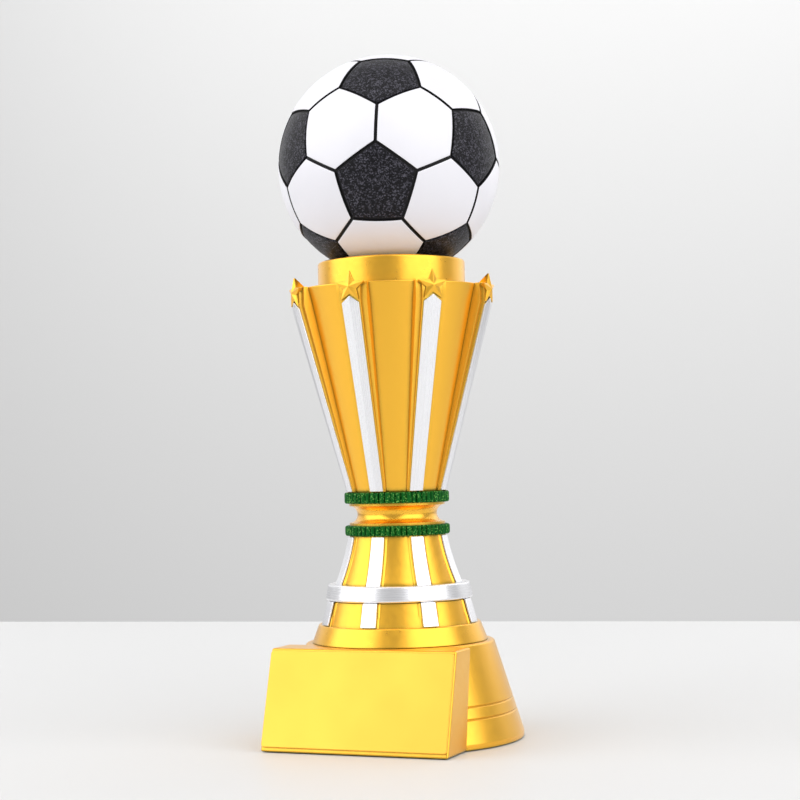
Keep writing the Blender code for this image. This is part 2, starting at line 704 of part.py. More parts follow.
def make_pentagon_inlays():
    """The twelve black pentagons, each in its pocket, numbered from the top down."""
    under = BALL_RADIUS - GROOVE_DEPTH + GAP
    over = BALL_RADIUS - INLAY_SINK
    bm, panels = ball_panels()
    outlines = [[vert.co.normalized() for vert in face.verts]
                for face in panels if is_pentagon(face)]
    bm.free()
    outlines.sort(key=lambda outline: -sum(point.z for point in outline))
    for index, outline in enumerate(outlines):
        inlay = loft([[point * radius for point in outline] for radius in (under, over)])
        inlay.faces.ensure_lookup_table()
        for face in [face for face in inlay.faces if is_pentagon(face)]:
            dome(inlay, face, face.verts[0].co.length)
        piece = add_bmesh(f"pentagon_inlay_{index + 1:02d}", inlay, BLACK)
        piece.location.z = BALL_Z


# ---------------------------------------------------------------- rod and fasteners

def make_rod_and_fasteners():
    """The tie rod, its bush in the ball, and the washer and nut in the base."""
    washer_top = BASE_Z + COUNTERBORE_DEPTH - GAP
    nut_top = washer_top - WASHER_THICKNESS - GAP
    insert_z = BALL_BOTTOM_Z + INSERT_SINK
    rod_top = insert_z + ROD_ENGAGEMENT
    rod_bottom = nut_top - NUT_HEIGHT - ROD_BELOW_NUT
    point = ROD_RADIUS - ROD_CHAMFER
    lathe("tie_rod", [(0.0, rod_top), (point, rod_top), (ROD_RADIUS, rod_top - ROD_CHAMFER),
                      (ROD_RADIUS, rod_bottom + ROD_CHAMFER), (point, rod_bottom),
                      (0.0, rod_bottom)], STEEL, closed=False)

    def bored(name, radius, bottom, top, material):
        lathe(name, [(radius, top), (radius, bottom), (BORE_RADIUS, bottom), (BORE_RADIUS, top)],
              material)

    bored("washer", WASHER_RADIUS, washer_top - WASHER_THICKNESS, washer_top, STEEL)
    bored("ball_insert", INSERT_RADIUS, insert_z, insert_z + INSERT_LENGTH, BRASS)

    sections = []
    for z in (nut_top - NUT_HEIGHT, nut_top):
        corner = NUT_FLATS / 2 / cos(pi / NUT_SIDES)
        turns = [2 * pi * i / NUT_SIDES for i in range(NUT_SIDES)]
        sections.append([(corner * cos(t), corner * sin(t), z) for t in turns])
    nut = add_bmesh("nut", loft(sections), STEEL)
    thread = lathe("nut_thread", [(0.0, nut_top + MM), (BORE_RADIUS, nut_top + MM),
                                  (BORE_RADIUS, nut_top - NUT_HEIGHT - MM),
                                  (0.0, nut_top - NUT_HEIGHT - MM)], None, CUTTERS, closed=False)
    combine(nut, thread, 'DIFFERENCE')


make_felt_pad()
make_base_casting()
make_name_plate()
make_base_ring()
make_lower_flare()
make_low_strips()
make_silver_band()
make_rope_ring("lower_rope_ring", LOWER_ROPE_Z, LOWER_ROPE_HEIGHT)
make_waist_spool()
make_rope_ring("upper_rope_ring", UPPER_ROPE_Z, UPPER_ROPE_HEIGHT)
make_column_core()
make_star_ribs()
make_rib_strips()
make_collar_ring()
make_ball_casting()
make_pentagon_inlays()
make_rod_and_fasteners()
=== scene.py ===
"""The looks of the football figure trophy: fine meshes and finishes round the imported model.

Run as a script. Each operator makes one piece, or a group of like pieces, in metres, in the
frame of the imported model, with the front facing -Y.
"""

from functools import cache
from math import atan2, cos, hypot, pi, radians, sin, sqrt, tan

import bmesh
import bpy
from mathutils import Matrix, Vector, noise


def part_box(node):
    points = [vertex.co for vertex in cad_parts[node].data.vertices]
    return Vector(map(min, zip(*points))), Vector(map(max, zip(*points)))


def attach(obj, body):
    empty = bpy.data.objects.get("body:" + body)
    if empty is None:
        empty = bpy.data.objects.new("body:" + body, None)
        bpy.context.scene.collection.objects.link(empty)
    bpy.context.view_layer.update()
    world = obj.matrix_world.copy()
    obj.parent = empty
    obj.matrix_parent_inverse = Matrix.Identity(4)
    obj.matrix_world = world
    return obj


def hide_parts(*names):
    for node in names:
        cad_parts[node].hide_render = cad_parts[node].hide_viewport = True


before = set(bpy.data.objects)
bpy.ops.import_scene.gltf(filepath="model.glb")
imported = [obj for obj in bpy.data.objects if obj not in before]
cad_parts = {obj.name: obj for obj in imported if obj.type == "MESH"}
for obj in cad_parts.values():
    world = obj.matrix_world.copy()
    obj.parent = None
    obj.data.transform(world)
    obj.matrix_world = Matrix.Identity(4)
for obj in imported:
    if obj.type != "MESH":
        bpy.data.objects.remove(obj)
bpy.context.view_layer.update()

bl_info = {
    "name": "Football figure trophy",
    "version": (1, 0, 0),
    "blender": (4, 5, 0),
    "location": "3D View > Sidebar > Trophy",
    "description": "Builds a football trophy's fine pieces, finishes and studio",
    "category": "Object",
}

MM = 0.001
GLUE = 0.3 * MM          # gap between a piece and its neighbour
BORE = 3.3 * MM          # radius of the bores for the tie rod
RIB_COUNT = 8
TURN_STEPS = 192
SPIN_WELD = 0.001 * MM
JOIN_WELD = 0.002 * MM


def linear(code):
    """A linear colour from an sRGB hex code."""
    parts = [int(code[i:i + 2], 16) / 255 for i in (1, 3, 5)]
    return tuple(c / 12.92 if c <= 0.04045 else ((c + 0.055) / 1.055) ** 2.4 for c in parts)


def length(name, description, millimetres):
    """A length property whose default is given in millimetres."""
    return bpy.props.FloatProperty(name=name, description=description, unit='LENGTH',
                                   default=millimetres * MM, precision=4)


def colour(name, description, code):
    """A colour property whose default is an sRGB hex code."""
    return bpy.props.FloatVectorProperty(name=name, description=description, subtype='COLOR',
                                         size=3, min=0.0, max=1.0, default=linear(code))


class TrophyShape(bpy.types.PropertyGroup):
    """Sizes of the trophy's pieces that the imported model's boxes don't give."""
    base_top_radius: length("Base top radius", "Radius of the base cone at its top", 38.4)
    base_foot_height: length("Base foot", "Height of the upright edge under the cone", 2.2)
    base_shoulder: length("Base shoulder", "Rounding of the cone's top edge", 1.2)
    block_proud: length("Block proud", "How far the block stands in front of the cone", 0.3)
    block_depth_bottom: length("Block depth, bottom", "Front to back at the bottom", 20.5)
    block_depth_top: length("Block depth, top", "Front to back at the top", 15.6)
    block_edge: length("Block edge", "Rounding of the front block's edges", 0.9)
    plate_width: length("Plate width", "Width of the name plate", 78.0)
    plate_height: length("Plate height", "Height of the name plate up its slope", 38.2)
    plate_margin: length("Plate margin", "From the block's top edge to the plate", 1.0)
    plate_edge: length("Plate edge", "Rounding of the name plate's edges", 0.35)
    base_ring_top_radius: length("Base ring top", "Radius of the base ring at its top", 33.0)
    skirt_bottom_radius: length("Skirt bottom", "Panel radius at the skirt's bottom", 31.5)
    skirt_top_radius: length("Skirt top", "Panel radius at the skirt's top", 28.9)
    flare_bottom_radius: length("Flare bottom", "Panel radius over the band", 25.5)
    flare_top_radius: length("Flare top", "Panel radius under the green ring", 19.5)
    flare_hollow: length("Flare hollow", "How far the flare's side curves in", 0.6)
    low_rib_rise: length("Low rib rise", "Height of the low ribs over their panels", 0.6)
    low_rib_lip: length("Low rib lip", "Gold that shows beside a silver strip", 0.5)
    band_top_radius: length("Band top radius", "Radius of the silver band at its top", 29.0)
    band_edge: length("Band edge", "Rounding of the silver band's edges", 0.9)
    rope_depth: length("Rope ridge depth", "Depth between the green ridges", 0.95)
    rope_ridges: bpy.props.IntProperty(name="Rope ridges", description="Ridges round each "
                                       "green ring", default=60, min=12)
    spool_waist_radius: length("Spool waist", "Radius of the spool at its waist", 16.3)
    column_bottom_radius: length("Column bottom", "Panel radius at the column's foot", 19.3)
    star_radius: length("Star radius", "From a star's middle to its points", 6.4)
    star_drop: length("Star drop", "From the rim down to a star's middle", 2.3)
    seat_radius: length("Ball seat", "Radius of the ring where the ball meets the collar", 22.9)
    ball_radius: length("Ball radius", "Radius over the white panels", 45.8)
    groove_width: length("Groove width", "Width of the black lines between panels", 1.0)


class TrophyColours(bpy.types.PropertyGroup):
    """Colours of the trophy's finishes."""
    gold: colour("Gold", "Metallic gold lacquer", "#FFC136")
    # Painted shade: the colour the gold is tinted to in creases, where ambient occlusion finds
    # them.
    gold_painted_shade: colour("Gold in creases", "Gold lacquer where it pools", "#94882E")
    plate: colour("Plate", "Gold-coloured aluminium", "#FFC650")
    silver: colour("Silver", "Metallic silver lacquer", "#F4F4F7")
    green: colour("Green", "Green enamel", "#055417")
    green_fleck: colour("Green fleck", "Glitter in the green enamel", "#6FB054")
    white: colour("White", "White enamel of the ball", "#EAE9EF")
    line: colour("Line", "Black paint in the ball's grooves", "#09080B")
    black: colour("Black", "Ground of the black glitter", "#0B0A10")
    black_fleck: colour("Black fleck", "Light flakes in the black glitter", "#7C7A88")
    floor: colour("Floor", "Floor of the studio", "#DCDCDC")
    wall: colour("Wall", "Wall of the studio", "#E2E2E2")


def shape():
    """The trophy's sizes in the current scene."""
    return bpy.context.scene.trophy_shape


def colours():
    """The trophy's colours in the current scene."""
    return bpy.context.scene.trophy_colours


def between(start, end, share):
    """The value a share of the way from start to end."""
    return start + (end - start) * share


def smooth_step(low, high, value):
    """0 below low, 1 above high, and an even S between them."""
    share = min(max((value - low) / (high - low), 0.0), 1.0)
    return share * share * (3 - 2 * share)


# ---------------------------------------------------------------- materials

# The part of a noise pattern's range that holds nearly all of it.
NOISE_LOW, NOISE_HIGH = 0.3, 0.7
STRIP_REACH = 30 * MM    # mean distance of the silver strips from the axis


def add_node(tree, kind, inputs=None, **settings):
    """The outputs of a new shader node with its settings, and its inputs set or linked."""
    node = tree.nodes.new("ShaderNode" + kind)
    for name, value in settings.items():
        setattr(node, name, value)
    for name, value in (inputs or {}).items():
        if isinstance(value, bpy.types.NodeSocket):
            tree.links.new(value, node.inputs[name])
        else:
            node.inputs[name].default_value = value
    return node.outputs


def start_material(name):
    """An empty node material, its tree and its Object coordinates."""
    finish = bpy.data.materials.new(name)
    finish.use_nodes = True
    tree = finish.node_tree
    tree.nodes.clear()
    return finish, tree, add_node(tree, "TexCoord")["Object"]


def end_material(finish, inputs, gloss=None, bumps=()):
    """The material, closed with the Principled shader and the output. gloss is a pattern with
    the roughness where it is low and where it is high. Each bump is a pattern, its strength and
    its depth in millimetres, and lies on the bump before it."""
    tree = finish.node_tree
    if gloss:
        pattern, low, high = gloss
        inputs["Roughness"] = add_node(tree, "MapRange", {
            "Value": pattern, "From Min": NOISE_LOW, "From Max": NOISE_HIGH,
            "To Min": low, "To Max": high})["Result"]
    for pattern, strength, depth in bumps:
        under = {"Normal": inputs["Normal"]} if "Normal" in inputs else {}
        inputs["Normal"] = add_node(tree, "Bump", {
            "Height": pattern, "Strength": strength, "Distance": depth * MM, **under})["Normal"]
    shader = add_node(tree, "BsdfPrincipled", inputs)
    add_node(tree, "OutputMaterial", {"Surface": shader["BSDF"]})
    return finish


def per_size(millimetres):
    """The texture scale whose pattern repeats about every so many millimetres."""
    return 1.0 / (millimetres * MM)


def gold_lacquer(name, roughness, turned=False, peel=1.0):
    """Metallic gold lacquer, sprayed on cast polyresin: a satin metal with a soft orange peel and
    fine aluminium flake, with painted shade: a darker, greener gold in the creases that ambient
    occlusion finds. On turned pieces faint rings from the pattern's lathe show through."""
    finish, tree, place = start_material(name)
    # Painted shade: the gold turns darker and greener where ambient occlusion finds a crease.
    crease = add_node(tree, "AmbientOcclusion", {"Distance": 2.2 * MM}, samples=6,
                      only_local=False)
    painted_crease_shade = add_node(tree, "MapRange", {"Value": crease["AO"], "From Min": 0.35,
                                         "From Max": 0.92, "To Min": 0.9, "To Max": 0.0},
                      interpolation_type='SMOOTHSTEP')
    tint = add_node(tree, "Mix", {"Factor": painted_crease_shade["Result"], "A": (*colours().gold, 1.0),
                                  "B": (*colours().gold_painted_shade, 1.0)}, data_type='RGBA')
    # Orange peel of 2.4 mm and flake of 0.25 mm.
    skin = add_node(tree, "TexNoise", {"Vector": place, "Scale": per_size(2.4), "Detail": 2.0,
                                       "Roughness": 0.5})
    flake = add_node(tree, "TexNoise", {"Vector": place, "Scale": per_size(0.25),
                                        "Detail": 1.0})
    bumps = [(skin["Fac"], 0.35 * peel, 0.10), (flake["Fac"], 0.12, 0.02)]
    if turned:
        # Lathe rings 0.5 mm apart up the piece.
        height = add_node(tree, "SeparateXYZ", {"Vector": place})
        rings = add_node(tree, "TexNoise", {"W": height["Z"], "Scale": per_size(0.5),
                                            "Detail": 2.0}, noise_dimensions='1D')
        bumps.append((rings["Fac"], 0.22, 0.05))
    return end_material(finish, {"Base Color": tint["Result"], "Metallic": 1.0,
                                 "Coat Weight": 0.55, "Coat Roughness": 0.28},
                        (skin["Fac"], roughness - 0.03, roughness + 0.04), bumps)


def gold_aluminium():
    """Gold-coloured anodised aluminium sheet: an even, very bright satin with the faintest
    grain of its rolling across the width."""
    finish, tree, place = start_material("gold_anodised_aluminium")
    rolled = add_node(tree, "Mapping", {
        "Vector": place, "Scale": (per_size(14.0), per_size(0.5), per_size(0.5))})
    grain = add_node(tree, "TexNoise", {"Vector": rolled["Vector"], "Scale": 1.0,
                                        "Detail": 3.0})
    cloud = add_node(tree, "TexNoise", {"Vector": place, "Scale": per_size(22.0),
                                        "Detail": 2.0})
    return end_material(finish, {"Base Color": (*colours().plate, 1.0), "Metallic": 1.0},
                        (cloud["Fac"], 0.36, 0.44), [(grain["Fac"], 0.10, 0.03)])


def silver_lacquer(name, brushed_round, roughness):
    """Metallic silver lacquer with fine brush lines, which run round a band or along a strip,
    and give a soft bright metal streaked the way it was brushed."""
    finish, tree, place = start_material(name)
    parts = add_node(tree, "SeparateXYZ", {"Vector": place})
    across, scale = parts["Z"], per_size(0.22)
    if not brushed_round:
        across = add_node(tree, "Math", {0: parts["Y"], 1: parts["X"]},
                          operation='ARCTAN2')["Value"]
        scale = per_size(0.25) * STRIP_REACH
    lines = add_node(tree, "TexNoise", {"W": across, "Scale": scale, "Detail": 2.0},
                     noise_dimensions='1D')
    return end_material(finish, {"Base Color": (*colours().silver, 1.0), "Metallic": 1.0},
                        (lines["Fac"], roughness - 0.05, roughness + 0.07),
                        [(lines["Fac"], 0.25, 0.03)])


def green_enamel():
    """Thick green enamel with glitter stirred in, with painted shade: darker green between the
    ridges and a little lighter on their crests, where ambient occlusion finds them; and small
    light flecks that catch the lamps."""
    finish, tree, place = start_material("green_glitter_enamel")
    # Painted shade: ambient occlusion darkens the green between the ridges and lightens it a
    # little on their crests.
    crease = add_node(tree, "AmbientOcclusion", {"Distance": 0.9 * MM}, samples=6)
    deep = add_node(tree, "MapRange", {"Value": crease["AO"], "From Min": 0.35,
                                       "From Max": 0.95, "To Min": 0.28, "To Max": 1.15})
    green_with_painted_shade = add_node(tree, "VectorMath", {"Vector": tuple(colours().green),
                                           "Scale": deep["Result"]}, operation='SCALE')
    # Flecks 0.35 mm across, drawn a little coarser than the real ones so that they show.
    fleck = add_node(tree, "TexVoronoi", {"Vector": place, "Scale": per_size(0.35)})
    dice = add_node(tree, "SeparateColor", {"Color": fleck["Color"]})
    rare = add_node(tree, "MapRange", {"Value": dice["Red"], "From Min": 0.88,
                                       "From Max": 0.93})
    tint = add_node(tree, "Mix", {"Factor": rare["Result"], "A": green_with_painted_shade["Vector"],
                                  "B": (*colours().green_fleck, 1.0)}, data_type='RGBA')
    return end_material(finish, {"Base Color": tint["Result"], "Roughness": 0.35,
                                 "Specular IOR Level": 0.12},
                        bumps=[(dice["Green"], 0.25, 0.04)])


def white_enamel():
    """Smooth white enamel, sprayed and baked: a clean cool white with a soft broad gloss and
    a trace of orange peel."""
    finish, tree, place = start_material("white_enamel")
    skin = add_node(tree, "TexNoise", {"Vector": place, "Scale": per_size(3.0), "Detail": 2.0})
    return end_material(finish, {"Base Color": (*colours().white, 1.0), "IOR": 1.5},
                        (skin["Fac"], 0.30, 0.38), [(skin["Fac"], 0.25, 0.08)])


def groove_paint():
    """Black gloss paint laid in the grooves with a brush: even black, slightly wavy."""
    finish, tree, place = start_material("black_groove_paint")
    skin = add_node(tree, "TexNoise", {"Vector": place, "Scale": per_size(1.2), "Detail": 1.0})
    return end_material(finish, {"Base Color": (*colours().line, 1.0), "IOR": 1.5,
                                 "Roughness": 0.45, "Specular IOR Level": 0.3},
                        bumps=[(skin["Fac"], 0.3, 0.08)])


def black_glitter():
    """Black glitter coat: flakes set at all angles in black binder, dark from most sides and
    sparkling grey where single flakes face a lamp."""
    finish, tree, place = start_material("black_glitter_coat")
    # Flakes 0.5 mm across, in drifts of 3 mm, drawn coarser than real ones so that they show.
    flake = add_node(tree, "TexVoronoi", {"Vector": place, "Scale": per_size(0.5)})
    dice = add_node(tree, "SeparateColor", {"Color": flake["Color"]})
    drift = add_node(tree, "TexNoise", {"Vector": place, "Scale": per_size(3.0),
                                        "Detail": 3.0, "Roughness": 0.7})
    pale = add_node(tree, "Mix", {"Factor": 0.35, "A": dice["Red"], "B": drift["Fac"]},
                    data_type='FLOAT')
    rare = add_node(tree, "MapRange", {"Value": pale["Result"], "From Min": 0.48,
                                       "From Max": 0.92, "To Min": 0.0, "To Max": 0.45},
                    interpolation_type='SMOOTHSTEP')
    tint = add_node(tree, "Mix", {"Factor": rare["Result"], "A": (*colours().black, 1.0),
                                  "B": (*colours().black_fleck, 1.0)}, data_type='RGBA')
    return end_material(finish, {"Base Color": tint["Result"], "Roughness": 0.42,
                                 "Specular IOR Level": 0.2},
                        bumps=[(dice["Green"], 0.6, 0.12)])


def plated_steel():
    """Zinc-plated steel: a cool grey metal with a cloudy, slightly frosted shine."""
    finish, tree, place = start_material("zinc_plated_steel")
    cloud = add_node(tree, "TexNoise", {"Vector": place, "Scale": per_size(2.0),
                                        "Detail": 3.0})
    gloss = add_node(tree, "MapRange", {"Value": cloud["Fac"], "To Min": 0.25, "To Max": 0.5})
    return end_material(finish, {"Base Color": (*linear("#C9CBCE"), 1.0), "Metallic": 1.0,
                                 "Roughness": gloss["Result"]})


def turned_brass():
    """Turned brass: warm yellow metal with fine rings up its length."""
    finish, tree, place = start_material("turned_brass")
    parts = add_node(tree, "SeparateXYZ", {"Vector": place})
    rings = add_node(tree, "TexNoise", {"W": parts["Z"], "Scale": per_size(0.3)},
                     noise_dimensions='1D')
    return end_material(finish, {"Base Color": (*linear("#DDBB6A"), 1.0), "Metallic": 1.0,
                                 "Roughness": 0.3}, bumps=[(rings["Fac"], 0.3, 0.04)])


def matt_paint(name, tint):
    """Matt paint, rolled on: an even pale surface with a barely cloudy sheen."""
    finish, tree, place = start_material(name)
    cloud = add_node(tree, "TexNoise", {"Vector": place, "Scale": per_size(400.0)})
    gloss = add_node(tree, "MapRange", {"Value": cloud["Fac"], "To Min": 0.45, "To Max": 0.6})
    return end_material(finish, {"Base Color": (*tint, 1.0), "Roughness": gloss["Result"]})


def needle_felt():
    """Black needle felt: matted fibres that break up all shine."""
    finish, tree, place = start_material("black_needle_felt")
    fibre = add_node(tree, "TexNoise", {"Vector": place, "Scale": per_size(0.4),
                                        "Detail": 6.0, "Roughness": 0.8, "Distortion": 1.5})
    return end_material(finish, {"Base Color": (*linear("#161618"), 1.0), "Roughness": 0.95,
                                 "Sheen Weight": 0.4}, bumps=[(fibre["Fac"], 0.9, 0.25)])


@cache
def material(name):
    """A finish by its name, made once."""
    return {
        "satin gold": lambda: gold_lacquer("satin_gold_lacquer", 0.33),
        "turned gold": lambda: gold_lacquer("turned_gold_lacquer", 0.30, turned=True, peel=0.5),
        "bright gold": lambda: gold_lacquer("bright_gold_lacquer", 0.27, peel=0.5),
        "plate": gold_aluminium,
        "silver band": lambda: silver_lacquer("silver_lacquer_band", True, 0.30),
        "silver strip": lambda: silver_lacquer("silver_lacquer_strip", False, 0.26),
        "green": green_enamel,
        "white": white_enamel,
        "groove": groove_paint,
        "black glitter": black_glitter,
        "steel": plated_steel,
        "brass": turned_brass,
        "felt": needle_felt,
    }[name]()


# ---------------------------------------------------------------- shared modelling

def add_piece(name, bm, finishes, slot, *nodes, sharp=30.0):
    """A finished piece from a bmesh, which rides on the trophy and stands for its nodes."""
    mesh = bpy.data.meshes.new(name)
    bm.to_mesh(mesh)
    bm.free()
    for finish in finishes:
        mesh.materials.append(material(finish))
    mesh.shade_smooth()
    mesh.set_sharp_from_angle(angle=radians(sharp))
    piece = bpy.data.objects.new(name, mesh)
    bpy.context.scene.collection.objects.link(piece)
    even = piece.modifiers.new("even_normals", 'WEIGHTED_NORMAL')
    even.keep_sharp = True
    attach(piece, "root")
    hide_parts(*nodes)
    return piece


def rounded(corners, steps=5):
    """A closed outline from corners of (x, y, fillet radius)."""
    outline = []
    for i, (x, y, radius) in enumerate(corners):
        here = Vector((x, y))
        if not radius:
            outline.append(here)
            continue
        back = (Vector(corners[i - 1][:2]) - here).normalized()
        ahead = (Vector(corners[(i + 1) % len(corners)][:2]) - here).normalized()
        half = back.angle(ahead) / 2
        middle = here + (back + ahead).normalized() * radius / sin(half)
        first = here + back * radius / tan(half) - middle
        last = here + ahead * radius / tan(half) - middle
        start = atan2(first.y, first.x)
        turn = (atan2(last.y, last.x) - start + pi) % (2 * pi) - pi
        for k in range(steps + 1):
            angle = start + turn * k / steps
            outline.append(middle + radius * Vector((cos(angle), sin(angle))))
    return outline


def turned(outline, steps=TURN_STEPS):
    """A turned solid from the closed outline of its half section."""
    bm = bmesh.new()
    points = [bm.verts.new((radius, 0.0, height)) for radius, height in outline]
    edges = [bm.edges.new((points[i - 1], points[i])) for i in range(len(points))]
    bmesh.ops.spin(bm, geom=points + edges, cent=(0, 0, 0), axis=(0, 0, 1), angle=2 * pi,
                   steps=steps, use_merge=True, use_duplicate=False)
    bmesh.ops.remove_doubles(bm, verts=bm.verts[:], dist=SPIN_WELD)
    bmesh.ops.recalc_face_normals(bm, faces=bm.faces[:])
    return bm


def bridged(sections):
    """A closed solid bridged through sections of the same number of points."""
    bm = bmesh.new()
    loops = []
    for section in sections:
        verts = [bm.verts.new(point) for point in section]
        loops.append([bm.edges.new((verts[i - 1], verts[i])) for i in range(len(verts))])
    for low, high in zip(loops, loops[1:]):
        bmesh.ops.bridge_loops(bm, edges=low + high)
    bmesh.ops.contextual_create(bm, geom=loops[0])
    bmesh.ops.contextual_create(bm, geom=loops[-1])
    bmesh.ops.recalc_face_normals(bm, faces=bm.faces[:])
    return bm


def soften(bm, width, angle=25.0, segments=2):
    """Round every edge that turns by more than the angle."""
    edges = [edge for edge in bm.edges
             if len(edge.link_faces) == 2 and edge.calc_face_angle() > radians(angle)]
    bmesh.ops.bevel(bm, geom=edges, offset=width, affect='EDGES', segments=segments,
                    profile=0.5, material=-1, clamp_overlap=True)


def combined(first, second, operation, slots=1):
    """A bmesh of the first solid with the second joined to it or cut from it."""
    objects = []
    for bm in (first, second):
        mesh = bpy.data.meshes.new("joining")
        for _ in range(slots):
            mesh.materials.append(None)
        bm.to_mesh(mesh)
        bm.free()
        objects.append(bpy.data.objects.new("joining", mesh))
        bpy.context.scene.collection.objects.link(objects[-1])
    join = objects[0].modifiers.new("join", 'BOOLEAN')
    join.operation = operation
    join.solver = 'EXACT'
    join.object = objects[1]
    graph = bpy.context.evaluated_depsgraph_get()
    whole = bpy.data.meshes.new_from_object(objects[0].evaluated_get(graph))
    result = bmesh.new()
    result.from_mesh(whole)
    bmesh.ops.remove_doubles(result, verts=result.verts[:], dist=JOIN_WELD)
    bmesh.ops.dissolve_degenerate(result, edges=result.edges[:], dist=JOIN_WELD)
    for item in objects:
        mesh = item.data
        bpy.data.objects.remove(item)
        bpy.data.meshes.remove(mesh)
    bpy.data.meshes.remove(whole)
    return result


def bored(corners, foot, top, steps=5):
    """A turned solid with the tie rod's bore, from the rounded corners of its outside."""
    return turned(rounded([*corners, (BORE, foot, 0.0), (BORE, top, 0.0)], steps))


def level_rectangle(half, front, back, level):
    """The corners of a rectangle at a level."""
    return [(-half, front, level), (half, front, level), (half, back, level),
            (-half, back, level)]


def to_sphere(verts, radius):
    """Bring points to a sphere round the origin."""
    for vert in verts:
        vert.co = vert.co.normalized() * radius


def only_verts(items):
    """The points among the parts of a mesh that an operator gave back."""
    return [item for item in items if isinstance(item, bmesh.types.BMVert)]


def add_at_ribs(name, bm, finish, slot, node, sharp=30.0):
    """Add a copy of a piece made on +X at each rib, the first at the front."""
    for index in range(RIB_COUNT):
        number, copy = index + 1, bm.copy()
        copy.transform(Matrix.Rotation(-pi / 2 + index * 2 * pi / RIB_COUNT, 4, 'Z'))
        add_piece(f"{name}_{number}", copy, [finish], slot, f"{node}_{number}", sharp=sharp)
    bm.free()


@cache
def levels(node):
    """The lowest and highest level of a node, and its largest radius along X."""
    low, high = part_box(node)
    return low[2], high[2], high[0]


# ---------------------------------------------------------------- base

BLOCK_SIDE = 0.4 * MM                   # from the plate's end to the block's side
NUT_POCKET_RADIUS = 10.0 * MM
FELT_POCKET_INNER = 5.0 * MM            # inside the nut's pocket, so no skin is left
FOOT_EDGES = (0.8 * MM, 0.5 * MM)       # rounding over and under the upright foot
LINE_LEVELS = (15.9 * MM, 11.2 * MM)    # the engraved lines, over the underside
# An engraved line from its upper edge down: height, depth and rounding.
LINE_SECTION = ((0.55 * MM, 0.0, 0.15 * MM), (0.0, 0.5 * MM, 0.12 * MM),
                (-0.45 * MM, 0.0, 0.15 * MM))
PLATE_THICKNESS = 0.85 * MM
PLATE_CORNER = 1.2 * MM
PLATE_PROUD = 0.9 * MM                  # the plate's face over the block's


def base_cone():
    """The base cone's lowest and highest level, and its radius at a height over the lowest."""
    bottom, top, foot_radius = levels("base_casting")
    foot = shape().base_foot_height

    def radius(height):
        share = (height - foot) / (top - bottom - foot)
        return between(foot_radius, shape().base_top_radius, share)

    return bottom, top, radius


def block_front():
    """The front face's distance from the axis at the bottom and at the top, and its lean."""
    bottom, top, radius = base_cone()
    low = radius(0.0) + shape().block_proud
    high = radius(top - bottom) + shape().block_proud
    return low, high, atan2(low - high, top - bottom)


def block_half():
    """Half the front block's width."""
    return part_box("name_plate")[1][0] + BLOCK_SIDE


def felt_pockets():
    """The felt's round and square pocket in the base's underside, as tools."""
    (_, felt_front, _), (_, felt_round, felt_top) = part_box("felt_pad")
    foot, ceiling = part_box("base_casting")[0][2] - MM, felt_top + GLUE
    reach = felt_round + GLUE
    round_pocket = turned([(reach, ceiling), (reach, foot), (FELT_POCKET_INNER, foot),
                           (FELT_POCKET_INNER, ceiling)])
    half = block_half() - (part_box("base_casting")[1][1] - felt_round)
    square_pocket = bridged([
        level_rectangle(half, felt_front - GLUE, felt_front + shape().block_depth_bottom, level)
        for level in (foot, ceiling)])
    return round_pocket, square_pocket


class TROPHY_OT_base(bpy.types.Operator):
    """Cone with two engraved lines and the front block, cast as one"""
    bl_idname = "trophy.base"
    bl_label = "Base casting"

    def execute(self, context):
        size = shape()
        bottom, top, radius = base_cone()
        ceiling = levels("washer")[1] + GLUE
        foot = size.base_foot_height
        upper_edge, lower_edge = FOOT_EDGES
        corners = [(size.base_top_radius, top, size.base_shoulder)]
        for level in LINE_LEVELS:
            corners += [(radius(level + rise) - depth, bottom + level + rise, edge)
                        for rise, depth, edge in LINE_SECTION]
        corners += [(radius(foot), bottom + foot, upper_edge), (radius(foot), bottom, lower_edge),
                    (NUT_POCKET_RADIUS, bottom, 0.0), (NUT_POCKET_RADIUS, ceiling, 0.0)]
        low, high, _ = block_front()
        block = bridged([
            level_rectangle(block_half(), -low, size.block_depth_bottom - low, bottom),
            level_rectangle(block_half(), -high, size.block_depth_top - high, top)])
        soften(block, size.block_edge, segments=4)
        whole = combined(bored(corners, ceiling, top), block, 'UNION')
        for pocket in felt_pockets():
            whole = combined(whole, pocket, 'DIFFERENCE')
        add_piece("gilt_base", whole, ["satin gold"], "satin_gold", "base_casting")
        return {'FINISHED'}


class TROPHY_OT_plate(bpy.types.Operator):
    """Blank name plate on the block's leaning face"""
    bl_idname = "trophy.plate"
    bl_label = "Name plate"

    def execute(self, context):
        size = shape()
        _, high, lean = block_front()
        bm = bmesh.new()
        bmesh.ops.create_cube(bm, size=1.0, matrix=Matrix.Diagonal(
            (size.plate_width, PLATE_THICKNESS, size.plate_height, 1.0)))
        through = [edge for edge in bm.edges
                   if abs(edge.verts[0].co.y - edge.verts[1].co.y) > PLATE_THICKNESS / 2]
        bmesh.ops.bevel(bm, geom=through, offset=PLATE_CORNER, affect='EDGES', segments=6,
                        profile=0.5, material=-1)
        front = [edge for edge in bm.edges
                 if max(vert.co.y for vert in edge.verts) < 0 and len(edge.link_faces) == 2
                 and edge.calc_face_angle() > radians(50)]
        bmesh.ops.bevel(bm, geom=front, offset=size.plate_edge, affect='EDGES', segments=4,
                        profile=0.5, material=-1)
        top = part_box("base_casting")[1][2]
        down = size.plate_margin + size.plate_height / 2
        place = (Matrix.Translation((0.0, -high, top)) @ Matrix.Rotation(-lean, 4, 'X')
                 @ Matrix.Translation((0.0, -PLATE_PROUD + PLATE_THICKNESS / 2, -down)))
        bm.transform(place)
        add_piece("blank_name_plate", bm, ["plate"], "plate_gold", "name_plate")
        return {'FINISHED'}


